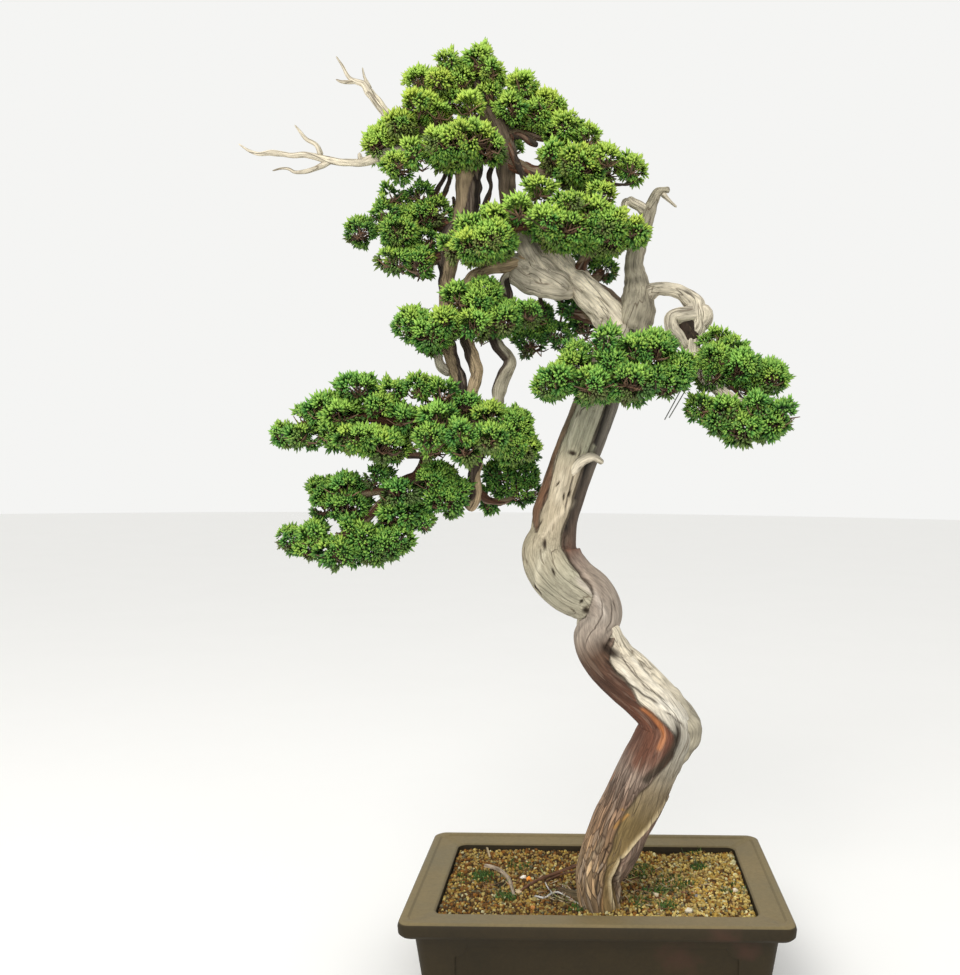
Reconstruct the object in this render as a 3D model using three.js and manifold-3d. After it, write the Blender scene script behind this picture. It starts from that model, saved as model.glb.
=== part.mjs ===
// A large juniper bonsai in a rectangular stoneware pot.
// Millimetres, +Z up, the pot's front faces -Y. Everything is laid out about the
// centre of the pot with z = 0 under its feet; the last lines centre the whole
// object on its own footprint.

import * as THREE from 'three';
import { mergeVertices } from 'three/addons/utils/BufferGeometryUtils.js';
import Module from 'manifold-3d';

const wasm = await Module();
wasm.setup();

// ---------- driving dimensions ----------

const GAP = 0.35; // left between neighbouring pieces

const POT_HEIGHT = 105;
const RIM_LENGTH = 380;
const RIM_WIDTH = 247;
const RIM_BORDER = 32; // flat border between the outer edge and the soil
const RIM_DEPTH = 15; // height of the lip
const RIM_CORNER = 12;
const BEAD_WIDTH = 8; // raised bead along the outer edge of the border
const BORDER_DROP = 2;
const BODY_INSET = 17; // body under the lip, in from the lip's face
const BODY_TAPER = 12; // further in at the foot of the body
const FOOT_HEIGHT = 12;
const FOOT_LENGTH = 58; // along the long side, from the body's corner
const FOOT_DEPTH = 46; // along the short side
const FOOT_WALL = 20; // how far a foot reaches inwards under the floor
const FLOOR_TOP = 24; // inside of the pot
const WALL_TAPER = 9;
const HOLLOW_CORNER = 5;
const CORNER_STEPS = 3;
const HOLE_RADIUS = 12;
const HOLE_SIDES = 16;
const HOLE_OFFSET = 75; // drainage holes, left and right of the middle
const PANEL_DEPTH = 1.2;
const PANEL_TOP = 78;
const PANEL_BOTTOM = 24;
const LONG_PANEL_MARGIN = 37; // from the body's corner to the panel
const SHORT_PANEL_MARGIN = 27;
const PANEL_NOTCH = 11;

const BODY_BOTTOM_INSET = BODY_INSET + BODY_TAPER;
const LIP_BOTTOM = POT_HEIGHT - RIM_DEPTH;
const BORDER_TOP = POT_HEIGHT - BORDER_DROP;

// The outside of the pot, from the feet up over the rim and in to the soil:
// [in from the rim's outline, height, corner radius].
const POT_PROFILE = [
  [BODY_BOTTOM_INSET, 0, 8],
  [BODY_BOTTOM_INSET, FOOT_HEIGHT, 8],
  [BODY_INSET + 0.5, LIP_BOTTOM - 7, 8],
  [BODY_INSET - 3, LIP_BOTTOM - 2, 8],
  [BODY_INSET - 9, LIP_BOTTOM, 9],
  [3, LIP_BOTTOM, RIM_CORNER],
  [0.6, LIP_BOTTOM + 3, RIM_CORNER],
  [0, POT_HEIGHT - 5, RIM_CORNER],
  [1, POT_HEIGHT - 1.5, RIM_CORNER],
  [3.5, POT_HEIGHT, RIM_CORNER],
  [BEAD_WIDTH, POT_HEIGHT - 0.4, 10],
  [BEAD_WIDTH + 2, BORDER_TOP, 9],
  [RIM_BORDER - 2, BORDER_TOP - 0.8, 6],
  [RIM_BORDER + 2, BORDER_TOP - 3, HOLLOW_CORNER],
];

const SOIL_TOP = 95;
const SOIL_SEED = 11;
const GRAVEL_SIZE = 21; // grains are larger than life here
const GRAVEL_RELIEF = 3.5;
const GRAVEL_UNEVEN = 0.5; // shifts of the grains' corners, as a share of their size

const TRUNK_SIDES = 11;
const FOOT_RINGS = 5; // rings of the trunk that can touch the soil
const FOOT_ROOM = 3; // the soil's plain hole is wider than the foot of the trunk
const BOUGH_SIDES = 8;
const LIMB_SIDES = 5;
const BRANCH_SIDES = 4;
const TWIG_SIDES = 3;

const CORE_SHARE = 0.74; // solid heart of a foliage mound, as a share of its size
const UNDERSIDE_SHARE = 0.8;
const MOUND_DEPTH = 1.35; // depth of a mound behind its face, as a share of its width
const COVERED_SHARE = 1.25; // a tip this deep in another mound has no tuft
const HEARTS_MEET = 0.5; // centres nearer than this share of both sizes need no twig
const SMALL_MOUND = 23; // narrower mounds have eight tufts, wider ones twenty
const SHORTEST_TUFT = 0.985; // tips of the tufts against the mound's half sizes
const LONGEST_TUFT = 1.09;
const TWIG_LINK = 3.5; // radius of the twig between two mounds of one pad
const FIRST_SEED = 101;

// ---------- the wood: [x, y, z, radius], chosen by hand along each limb ----------

const TRUNK = [
  [7, -47, 74, 18], [5, -47, 92, 18], [1, -47, 107, 19], [1, -46, 125, 22],
  [9, -47, 141, 25.5], [18, -48, 160, 27.5], [25, -49, 178, 28], [34, -50, 195, 28],
  [42, -51, 213, 28], [54, -53, 239, 28], [63, -54, 257, 27.5], [70, -54, 275, 27],
  [63, -52, 292, 25], [47, -49, 309, 25], [28, -46, 326, 25.5], [9, -44, 343, 24],
  [-1, -42, 361, 23], [-2, -40, 375, 21.5], [-1, -40, 388, 22.5], [-10, -40, 402, 25.5],
  [-31, -41, 417, 28], [-46, -42, 434, 29.5], [-53, -41, 452, 26.5],
  [-50, -40, 469, 21.5], [-47, -37, 488, 22], [-40.5, -34, 508, 21.5],
  [-34, -31, 528, 21.5], [-27, -28, 548, 21.5], [-19.5, -25, 568, 21.5],
  [-13, -21, 585, 21.5], [-7, -17, 602, 21.5], [4, -11, 634, 21], [15, -6, 666, 21],
  [24, 0, 690, 19],
];

const BOUGH = [
  [25, -2, 672, 16], [10, 0, 695, 17], [-9, 2, 716, 16], [-30, 4, 734, 14.5],
  [-50, 5, 754, 13.5], [-66, 6, 772, 13], [-82, 6, 792, 11.5], [-96, 4, 812, 10],
  [-103, 1, 831, 8], [-103, -2, 851, 9], [-104, -6, 871, 10], [-110, -10, 889, 9],
  [-118, -12, 906, 8], [-127, -14, 923, 6], [-135, -16, 941, 3],
];

const UPRIGHT = [
  [28, -2, 676, 18], [36, 0, 706, 18], [36, 2, 730, 13.5], [33, 4, 752, 9.5],
  [36, 5, 772, 9.5], [43, 4, 795, 8], [48, 2, 810, 7], [53, 1, 822, 5.5],
  [58, 0, 830, 4.5], [64, -1, 832, 3], [70, -3, 831, 4],
];

const SLAB = [
  [10, -50, 378, 7], [24, -54, 352, 9], [41, -55, 333, 11], [59, -56, 314, 13],
  [77, -56, 292, 15], [86, -54, 273, 18], [77, -53, 252, 15], [64, -52, 225, 12],
  [50, -50, 195, 9], [40, -48, 165, 6],
];

const ARCH = [
  [44, 0, 720, 11], [58, -7, 726, 6.5], [68, -10, 725, 6.5], [79, -14, 722, 7],
  [89, -19, 714.5, 8.5], [96, -23, 706, 10], [96, -27, 697, 10.5], [97, -31, 682, 9],
  [92, -34, 668, 8.5], [92, -38, 655, 8], [101, -48, 635, 7], [120, -62, 613, 6],
  [142, -73, 598, 4],
];

const HANGING = [
  [-110, -10, 884, 8], [-127, -14, 881, 10], [-140, -16, 867, 13],
  [-142, -17, 844, 12.5], [-143, -16, 823, 12], [-144, -14, 801, 12],
  [-151, -12, 784, 13], [-160, -10, 766, 12], [-163, -8, 745, 8], [-165, -8, 720, 7],
  [-165, -10, 692, 7], [-163, -12, 666, 7], [-157, -16, 645, 6], [-148, -22, 624, 7],
  [-144, -28, 603, 5],
];

const ARCHING = [
  [-67, 0, 754, 9], [-88, -8, 752, 8], [-108, -14, 746, 7], [-123, -18, 742, 6],
  [-137, -20, 732, 6], [-144, -20, 715, 6], [-145, -20, 691, 6], [-141, -22, 668, 6],
  [-135, -24, 651, 6.5], [-130, -26, 635, 6], [-133, -28, 619, 6], [-136, -32, 601, 5],
  [-131, -36, 579, 5], [-127, -32, 553, 5.5], [-131, -26, 528, 6], [-130, -20, 507, 5.5],
  [-138, -17, 490, 6],
];

const ELBOW_LIMB = [
  [-94, -8, 742, 6], [-104, -10, 731, 5], [-100, -10, 716, 5], [-108, -10, 699, 5],
  [-116, -12, 678, 5.5], [-109, -14, 663, 6], [-96, -16, 646, 6], [-102, -18, 631, 6.5],
  [-107, -22, 614, 6.5], [-107, -28, 592, 4],
];

const LEFT_JIN = [
  [-110, -10, 882, 8], [-141, -16, 875, 7], [-182, -20, 866, 6], [-227, -20, 861, 5.5],
  [-239, -22, 856, 4.8], [-249, -22, 852, 4.4], [-264, -22, 851, 3.6],
  [-285, -22, 853, 3.8], [-298, -23, 856, 3.4], [-311, -24, 858, 3],
  [-326, -25, 857, 2.6], [-344, -27, 859, 2.8], [-358, -29, 857, 1.8],
  [-369, -30, 861, 1.3], [-378, -30, 867, 0.6],
];

const TOP_JIN = [
  [-118, -12, 902, 7], [-152, -14, 894, 6], [-184, -12, 892, 6], [-222, -10, 899, 5.5],
  [-233, -9, 911, 5], [-242, -8, 922, 4.6], [-249, -7, 931, 4.2], [-255, -5, 939, 3.6],
  [-263, -4, 942, 2.7], [-270, -3, 946, 2.1], [-278, -4, 959, 1.4],
  [-285, -4, 969, 0.7],
];

// Short limbs, jins and twigs, each rooted in one of the limbs above.
const LIMBS = [
  [[47, 2, 808, 6], [39, 0, 814, 5.5], [30, -2, 818, 5], [24, -3, 822, 4.5]],
  [[32, -2, 817, 4.5], [23, -4, 818, 3.5], [21, -5, 810, 3.2], [21, -5, 801, 2.4]],
  [[96, -25, 699, 9], [105, -26, 697, 10], [104, -28, 689, 8], [95, -31, 682, 7]],
  [[99, -27, 696, 9], [86, -34, 694, 8.5], [71, -37, 690, 7], [71, -38, 681, 6.5],
    [79, -39, 670, 6], [87, -39, 659, 5]],
  [[-104, -8, 757, 7], [-86, -6, 749, 11], [-69, -6, 742, 16], [-51, -4, 732, 15],
    [-33, -2, 721, 14]],
  [[-30, 0, 725, 10], [-56, -10, 724, 10], [-79, -12, 729, 9], [-98, -10, 742, 8]],
  [[-89, 0, 786, 9], [-79, -8, 765, 10], [-69, -10, 748, 10], [-54, -8, 732, 11]],
  [[-165, -10, 672, 7], [-172, -14, 655, 4.5], [-169, -16, 642, 5], [-158, -18, 632, 4]],
  [[-36, -42, 520, 5], [-28, -48, 534, 5.5], [-18, -51, 544, 5], [-8, -50, 547, 4],
    [2, -46, 541, 2.6]],
  [[-27, 4, 742, 7], [-21, 0, 755, 5], [-14, -2, 765, 4.5], [-4, -2, 769, 4], [9, 0, 772, 1.5]],
  [[-106, -8, 878, 7], [-96, -6, 889, 4], [-82, -5, 888, 3.2], [-64, -4, 884, 3], [-47, -6, 893, 2]],
  [[-103, -4, 860, 8], [-86, -10, 851, 6], [-62, -16, 844, 5], [-25, -20, 844, 4], [8, -20, 845, 2]],
  [[-5, -16, 612, 12], [2, -50, 620, 9], [11, -84, 626, 7], [24, -104, 632, 4]],
  [[-80, 6, 790, 10], [-66, -20, 792, 8], [-57, -46, 792, 7], [-44, -62, 790, 4]],
  [[-60, -38, 791, 6], [-96, -44, 777, 4.5], [-128, -44, 769, 3]],
  [[-158, -12, 787, 9], [-182, -14, 792, 5], [-207, -18, 798, 4], [-228, -20, 790, 2.5]],
  [[-166, -9, 758, 7], [-182, -12, 751, 4.5], [-207, -18, 749, 3]],
  [[-20, 2, 727, 8], [-9, 16, 739, 5], [-1, 28, 752, 3]],
  [[8, 0, 696, 9], [-19, 20, 701, 6], [-41, 36, 707, 3.5]],
  [[-136, -32, 603, 5], [-165, -44, 585, 6], [-199, -52, 581, 5], [-239, -54, 584, 4],
    [-280, -50, 582, 2.5]],
  [[-165, -44, 586, 6], [-176, -38, 558, 5], [-187, -30, 530, 5.5], [-206, -36, 518, 5],
    [-234, -40, 509, 4], [-261, -44, 503, 2.5]],
  [[-206, -36, 518, 5], [-228, -44, 493, 4], [-246, -50, 473, 3.5], [-268, -54, 459, 2.5]],
  [[-130, -20, 510, 5], [-117, -8, 501, 3.5], [-97, 4, 503, 3], [-84, 6, 521, 2]],
  [[96, -43, 642, 6], [118, -50, 642, 5], [142, -54, 640, 4], [160, -55, 633, 2.5]],
  [[-108, -8, 888, 8], [-112, 20, 895, 6], [-122, 48, 900, 5], [-146, 74, 900, 3]],
  [[-150, -20, 628, 6], [-160, 8, 606, 5], [-166, 38, 592, 4.5], [-190, 62, 584, 3]],
];

const FINE_LIMBS = [
  [[-294, -24, 857, 3.2], [-299, -24, 868, 2.4], [-310, -25, 875, 2],
    [-316, -26, 882, 1.4], [-321, -28, 888, 0.6]],
  [[-284, -22, 853, 3.2], [-297, -20, 847, 2.8], [-313, -19, 842, 2.1],
    [-324, -18, 842, 1.8], [-329, -17, 845, 1.5], [-337, -16, 846, 1.2],
    [-348, -14, 844, 0.6]],
  [[-263, -4, 942, 2.4], [-273, -3, 942, 2], [-280, -2, 943, 1.6], [-286, 0, 946, 0.6]],
  [[-248, -6, 933, 3], [-251, -6, 940, 1.9], [-254, -7, 947, 1.3], [-256, -8, 956, 0.6]],
  [[62, -1, 828, 3.4], [69, -4, 820, 2], [77, -7, 812, 1.2]],
  [[-253, -22, 853, 3.2], [-254, -24, 857, 2.2], [-254, -25, 861, 1.4]],
];

// Surface roots: they leave the foot of the trunk and dip into the soil.
const ROOTS = [
  [[6, -47, 104, 11], [-16, -34, 101, 7], [-36, -10, 97, 5], [-52, 14, 90, 4]],
  [[6, -47, 100, 10], [-20, -52, 98, 6], [-42, -48, 94, 4.5], [-58, -40, 86, 3]],
  [[6, -47, 104, 11], [28, -34, 101, 7], [42, -10, 95, 5], [50, 8, 87, 3]],
];

// Two stiff guy wires that lead down from the arching limb on the right.
const WIRE_RADIUS = 0.6;
const WIRES = {
  wire_left: [[98, -42, 650], [64, -42, 586]],
  wire_right: [[101.5, -43, 645], [68.5, -43, 588]],
};

// ---------- the foliage ----------

// Each pad is a group of mounds. spine is the y of the pad's middle, and a mound is
// [x, z, half width, half height, how far its face stands in front of the spine].
const PADS = {
  foliage_apex: { spine: -14, mounds: [
    [-162, 954, 19, 17, 8], [-130, 957, 20, 17, 12], [-118, 945, 13, 12, 14],
    [-172, 932, 18, 13, 18], [-149, 937, 18, 13, 6], [-190, 907, 26, 16, 14],
    [-209, 886, 25, 17, 12], [-231, 878, 19, 15, 6], [-138, 903, 18, 14, 26],
    [-170, 899, 16, 10, 14], [-88, 932, 19, 18, 10], [-61, 913, 17, 16, 8],
    [-95, 908, 17, 12, 12], [-39, 890, 19, 15, 6], [-18, 882, 14, 17, 4],
    [-70, 903, 16, 9, 4], [-193, 938, 11, 9, 8], [-118, 924, 16, 14, -4],
    [-157, 920, 15, 13, 0], [-236, 868, 14, 8, 10]] },
  foliage_crown_front: { spine: -48, mounds: [
    [-139, 866, 28, 19, 14], [-166, 859, 25, 15, 12], [-191, 850, 20, 12, 6],
    [-114, 859, 14, 12, 8], [-209, 839, 13, 6, 8]] },
  foliage_right_shelf: { spine: -24, mounds: [
    [-53, 858, 18, 16, 10], [-27, 850, 25, 18, 14], [2, 853, 22, 16, 10],
    [27, 847, 20, 12, 4], [-27, 841, 31, 8, 2]] },
  foliage_mid_left: { spine: -18, mounds: [
    [-217, 817, 17, 15, 8], [-191, 819, 19, 15, 4], [-224, 796, 23, 15, 10],
    [-250, 782, 17, 10, 6], [-210, 777, 25, 13, 12], [-183, 797, 16, 17, 4],
    [-183, 772, 13, 13, -4], [-172, 802, 11, 10, -4]] },
  foliage_mid_left_low: { spine: -20, mounds: [
    [-217, 748, 25, 15, 8], [-190, 743, 21, 14, 6], [-191, 753, 21, 13, 0]] },
  foliage_centre: { spine: -54, mounds: [
    [-65, 812, 22, 13, 8], [-34, 796, 24, 15, 14], [-84, 791, 22, 15, 16],
    [-57, 778, 24, 14, 22], [-11, 789, 23, 16, 14], [-2, 811, 13, 11, 2],
    [11, 779, 22, 15, 12], [31, 773, 19, 9, 8], [-34, 773, 28, 10, 8],
    [-110, 785, 17, 14, 10], [-135, 772, 21, 16, 8], [-151, 757, 18, 13, 4],
    [-120, 757, 18, 11, 8], [-105, 765, 16, 10, 14]] },
  foliage_back_small: { spine: 34, mounds: [
    [0, 753, 17, 20, 0], [-19, 769, 11, 10, -2]] },
  foliage_shelf_left: { spine: -40, mounds: [
    [-146, 708, 22, 17, 6], [-120, 708, 15, 13, 4], [-192, 682, 20, 13, 8],
    [-159, 681, 23, 14, 14], [-129, 680, 23, 15, 16], [-99, 685, 19, 12, 10],
    [-75, 693, 14, 12, 6], [-171, 671, 24, 9, 4], [-174, 668, 22, 9, 10],
    [-97, 695, 14, 9, 0], [-118, 717, 15, 11, 4]] },
  foliage_back_mid: { spine: 46, mounds: [
    [-33, 713, 24, 15, 6], [-16, 693, 20, 17, 6], [-67, 707, 15, 14, 4],
    [-78, 674, 20, 10, 2], [-48, 683, 17, 11, 4]] },
  foliage_front: { spine: -98, mounds: [
    [2, 658, 24, 19, 8], [31, 649, 25, 18, 10], [51, 654, 19, 15, 2],
    [-27, 646, 15, 13, 4], [-41, 619, 24, 13, 14], [-11, 610, 23, 14, 22],
    [22, 616, 24, 15, 24], [46, 620, 21, 15, 16], [70, 627, 17, 14, 4],
    [7, 635, 27, 15, 8], [30, 612, 25, 13, 20], [62, 616, 17, 10, 8],
    [-52, 614, 14, 11, 10], [76, 635, 14, 12, 2], [-29, 634, 17, 12, 12]] },
  foliage_right: { spine: -52, mounds: [
    [113, 647, 23, 15, 12], [142, 641, 23, 15, 10], [169, 628, 18, 14, 6],
    [115, 668, 15, 14, -4], [132, 659, 14, 12, -6], [152, 620, 20, 11, 4],
    [110, 630, 15, 11, 10]] },
  foliage_right_low: { spine: -76, mounds: [
    [96, 597, 18, 12, 6], [122, 594, 20, 14, 12], [149, 597, 22, 15, 10],
    [177, 592, 22, 14, 6], [165, 581, 20, 10, 4], [137, 580, 24, 12, 4],
    [112, 584, 18, 9, 6], [136, 574, 20, 10, 6]] },
  foliage_lower_left: { spine: -50, mounds: [
    [-244, 614, 29, 18, 6], [-274, 594, 23, 14, 6], [-298, 585, 15, 13, 4],
    [-321, 567, 15, 10, 2], [-256, 586, 26, 13, 16], [-221, 595, 21, 14, 16],
    [-183, 615, 23, 17, 6], [-160, 613, 19, 17, 8], [-197, 584, 19, 14, 20],
    [-161, 585, 25, 15, 22], [-238, 563, 30, 15, 28], [-211, 555, 21, 12, 24],
    [-268, 566, 20, 8, 20], [-168, 564, 24, 16, 34], [-139, 569, 22, 15, 32],
    [-112, 587, 23, 15, 14], [-110, 564, 25, 15, 26], [-88, 576, 17, 14, 10],
    [-89, 555, 18, 10, 2], [-300, 565, 22, 12, 6], [-210, 611, 20, 12, 6],
    [-137, 599, 15, 12, 2], [-172, 554, 18, 9, 14], [-133, 553, 24, 11, 22]] },
  foliage_low: { spine: -34, mounds: [
    [-231, 526, 17, 15, 6], [-259, 514, 23, 16, 12], [-279, 505, 16, 13, 8],
    [-266, 493, 22, 12, 8], [-205, 510, 29, 15, 10], [-175, 520, 22, 16, 8],
    [-203, 488, 27, 13, 6], [-181, 478, 13, 7, 4], [-165, 501, 21, 14, 4],
    [-169, 528, 19, 14, 2], [-149, 513, 17, 15, 2], [-286, 514, 11, 11, 6],
    [-284, 493, 11, 12, 6], [-252, 495, 21, 14, 10], [-211, 482, 23, 8, 6]] },
  foliage_lowest: { spine: -52, mounds: [
    [-312, 462, 14, 9, 0], [-287, 466, 21, 16, 4], [-265, 451, 25, 13, 8],
    [-236, 464, 18, 12, 6], [-216, 456, 17, 12, 2], [-229, 451, 18, 8, 2],
    [-293, 452, 14, 9, 6], [-251, 473, 18, 12, 6], [-205, 463, 12, 9, 2]] },
  foliage_back_crown: { spine: 74, mounds: [
    [-150, 903, 30, 16, 10], [-112, 910, 28, 17, 12], [-92, 930, 20, 11, 6],
    [-184, 888, 24, 13, 6]] },
  foliage_back_low: { spine: 62, mounds: [
    [-170, 588, 30, 15, 10], [-205, 581, 28, 14, 8], [-136, 581, 26, 14, 6],
    [-240, 575, 22, 11, 4]] },
  foliage_low_right: { spine: 14, mounds: [
    [-109, 530, 19, 13, 2], [-83, 528, 16, 16, 2], [-88, 510, 17, 10, 2],
    [-115, 502, 19, 12, 0], [-101, 549, 16, 10, 0]] },
};

// ---------- finishes ----------

const finish = (color, roughness) => new THREE.MeshStandardMaterial({ color, roughness, metalness: 0 });
const STONEWARE = finish(0x5a4c3d, 0.62);
const GRAVEL = finish(0x9a7d45, 0.95);
const WOOD = finish(0xb9a98a, 0.85);
const NEEDLES = finish(0x4f8a2a, 0.75);
const WIRE = new THREE.MeshStandardMaterial({ color: 0x8a8a88, roughness: 0.45, metalness: 0.9 });

// ---------- solids ----------

// A repeatable stream of numbers between 0 and 1.
function randomStream(seed) {
  let state = seed >>> 0;
  return () => {
    state = (state + 0x6d2b79f5) >>> 0;
    let t = state;
    t = Math.imul(t ^ (t >>> 15), t | 1);
    t ^= t + Math.imul(t ^ (t >>> 7), t | 61);
    return ((t ^ (t >>> 14)) >>> 0) / 4294967296;
  };
}

function solidOf(geometry) {
  const bare = geometry.clone();
  bare.deleteAttribute('normal');
  bare.deleteAttribute('uv');
  const merged = mergeVertices(bare, 1e-4);
  return new wasm.Manifold(new wasm.Mesh({
    numProp: 3,
    vertProperties: new Float32Array(merged.attributes.position.array),
    triVerts: new Uint32Array(merged.index.array),
  }));
}

function geometryOf(solid) {
  const mesh = solid.getMesh();
  const geometry = new THREE.BufferGeometry();
  geometry.setAttribute('position', new THREE.BufferAttribute(mesh.vertProperties, 3));
  geometry.setIndex(new THREE.BufferAttribute(mesh.triVerts, 1));
  geometry.computeVertexNormals();
  return geometry;
}

function unionOf(solids) {
  let pool = solids;
  while (pool.length > 1) {
    const next = [];
    for (let i = 0; i < pool.length; i += 2) {
      next.push(i + 1 < pool.length ? pool[i].add(pool[i + 1]) : pool[i]);
    }
    pool = next;
  }
  return pool[0];
}

// A closed body through a stack of rings, all with the same number of points.
function loft(rings) {
  const count = rings[0].length;
  const points = rings.flat();
  const bottom = points.length;
  const centre = (ring) => ring.reduce((sum, p) => sum.add(p), new THREE.Vector3())
    .divideScalar(count);
  points.push(centre(rings[0]), centre(rings[rings.length - 1]));
  const index = [];
  for (let k = 0; k + 1 < rings.length; k += 1) {
    for (let i = 0; i < count; i += 1) {
      const j = (i + 1) % count;
      const a = k * count + i;
      const b = k * count + j;
      index.push(a, b, b + count, a, b + count, a + count);
    }
  }
  const last = (rings.length - 1) * count;
  for (let i = 0; i < count; i += 1) {
    const j = (i + 1) % count;
    index.push(bottom, j, i, bottom + 1, last + i, last + j);
  }
  const geometry = new THREE.BufferGeometry();
  geometry.setAttribute('position',
    new THREE.Float32BufferAttribute(points.flatMap((p) => [p.x, p.y, p.z]), 3));
  geometry.setIndex(index);
  return geometry;
}

// ---------- the pot ----------

function roundedRing(length, width, radius, z) {
  const ring = [];
  const corners = [[1, 1, 0], [-1, 1, 1], [-1, -1, 2], [1, -1, 3]];
  for (const [sx, sy, quarter] of corners) {
    for (let i = 0; i <= CORNER_STEPS; i += 1) {
      const a = (quarter + i / CORNER_STEPS) * Math.PI / 2;
      ring.push(new THREE.Vector3(
        sx * (length / 2 - radius) + radius * Math.cos(a),
        sy * (width / 2 - radius) + radius * Math.sin(a),
        z,
      ));
    }
  }
  return ring;
}

// Rings given by how far they lie inside the rim's outline.
const insetRing = (inset, z, radius) => roundedRing(
  RIM_LENGTH - 2 * inset, RIM_WIDTH - 2 * inset, radius, z);

function potHollow(clearance, top) {
  const inset = RIM_BORDER + clearance;
  return solidOf(loft([
    insetRing(inset + WALL_TAPER, FLOOR_TOP + clearance, HOLLOW_CORNER),
    insetRing(inset, LIP_BOTTOM, HOLLOW_CORNER),
    insetRing(inset, top, HOLLOW_CORNER),
  ]));
}

function panelOutline(halfLength, bottom, top) {
  const shape = new THREE.Shape();
  const n = PANEL_NOTCH;
  shape.moveTo(-halfLength + n, bottom);
  shape.lineTo(halfLength - n, bottom);
  shape.absarc(halfLength, bottom, n, Math.PI, Math.PI / 2, true);
  shape.lineTo(halfLength, top - n);
  shape.absarc(halfLength, top, n, -Math.PI / 2, -Math.PI, true);
  shape.lineTo(-halfLength + n, top);
  shape.absarc(-halfLength, top, n, 0, -Math.PI / 2, true);
  shape.lineTo(-halfLength, bottom + n);
  shape.absarc(-halfLength, bottom, n, Math.PI / 2, 0, true);
  return shape;
}

// A thin slab in the outline of a panel, sunk into one of the four sloping walls.
function panelCut(halfLength, wallTop, wallBottom, turn) {
  const slope = Math.atan2(wallTop - wallBottom, LIP_BOTTOM - FOOT_HEIGHT);
  const geometry = new THREE.ExtrudeGeometry(
    panelOutline(halfLength, PANEL_BOTTOM - FOOT_HEIGHT, PANEL_TOP - FOOT_HEIGHT),
    { depth: 6 * PANEL_DEPTH, bevelEnabled: false, curveSegments: 2 });
  geometry.rotateX(Math.PI / 2);
  geometry.translate(0, PANEL_DEPTH, 0);
  geometry.rotateX(slope);
  geometry.translate(0, -wallBottom, FOOT_HEIGHT);
  geometry.rotateZ(turn);
  return solidOf(geometry);
}

function makePot() {
  const shell = solidOf(loft(POT_PROFILE.map((row) => insetRing(...row))));
  const halfLength = RIM_LENGTH / 2;
  const halfWidth = RIM_WIDTH / 2;
  const footX = halfLength - BODY_BOTTOM_INSET - FOOT_LENGTH;
  const footY = halfWidth - BODY_BOTTOM_INSET - FOOT_DEPTH;
  const under = (length, width) => {
    const box = new THREE.BoxGeometry(length, width, 2 * FOOT_HEIGHT);
    return solidOf(box);
  };
  const hole = (x) => {
    const cylinder = new THREE.CylinderGeometry(
      HOLE_RADIUS, HOLE_RADIUS, 4 * FLOOR_TOP, HOLE_SIDES);
    cylinder.rotateX(Math.PI / 2);
    cylinder.translate(x, 0, 0);
    return solidOf(cylinder);
  };
  const footInside = BODY_BOTTOM_INSET + FOOT_WALL;
  const longPanel = halfLength - BODY_INSET - LONG_PANEL_MARGIN;
  const shortPanel = halfWidth - BODY_INSET - SHORT_PANEL_MARGIN;
  const cuts = [
    potHollow(0, 2 * POT_HEIGHT),
    under(2 * footX, RIM_WIDTH),
    under(RIM_LENGTH, 2 * footY),
    under(RIM_LENGTH - 2 * footInside, RIM_WIDTH - 2 * footInside),
    hole(-HOLE_OFFSET),
    hole(HOLE_OFFSET),
    panelCut(longPanel, halfWidth - BODY_INSET, halfWidth - BODY_BOTTOM_INSET, 0),
    panelCut(longPanel, halfWidth - BODY_INSET, halfWidth - BODY_BOTTOM_INSET, Math.PI),
    panelCut(shortPanel, halfLength - BODY_INSET, halfLength - BODY_BOTTOM_INSET, Math.PI / 2),
    panelCut(shortPanel, halfLength - BODY_INSET, halfLength - BODY_BOTTOM_INSET, -Math.PI / 2),
  ];
  return shell.subtract(unionOf(cuts));
}

// ---------- the wood ----------

// A round limb along a curve through hand-chosen points. lobes gives the section its
// ridges: it scales the radius for an angle and a place along the limb.
function limb(path, sides, extra = 0, lobes = () => 1) {
  const curve = new THREE.CatmullRomCurve3(path.map(([x, y, z]) => new THREE.Vector3(x, y, z)));
  const girth = new THREE.CatmullRomCurve3(path.map((p) => new THREE.Vector3(p[3], 0, 0)));
  const steps = path.length - 1;
  const normal = new THREE.Vector3(0, -1, 0);
  const rings = [];
  for (let k = 0; k <= steps; k += 1) {
    const t = k / steps;
    const centre = curve.getPoint(t);
    const tangent = curve.getTangent(t);
    normal.addScaledVector(tangent, -normal.dot(tangent)).normalize();
    const side = new THREE.Vector3().crossVectors(tangent, normal);
    if (k === 0) centre.addScaledVector(tangent, -extra);
    if (k === steps) centre.addScaledVector(tangent, extra);
    const radius = girth.getPoint(t).x;
    const ring = [];
    for (let i = 0; i < sides; i += 1) {
      const a = 2 * Math.PI * i / sides;
      const r = radius * lobes(a, t) + extra;
      ring.push(centre.clone()
        .addScaledVector(normal, r * Math.cos(a))
        .addScaledVector(side, r * Math.sin(a)));
    }
    rings.push(ring);
  }
  return solidOf(loft(rings));
}

const trunkLobes = (a, t) => 1
  + 0.07 * Math.cos(2 * a + 9 * t)
  + 0.06 * Math.cos(3 * a - 14 * t + 1);

const rootsOf = (extra) => ROOTS.map((path) => limb(path, BRANCH_SIDES, extra));

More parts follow.
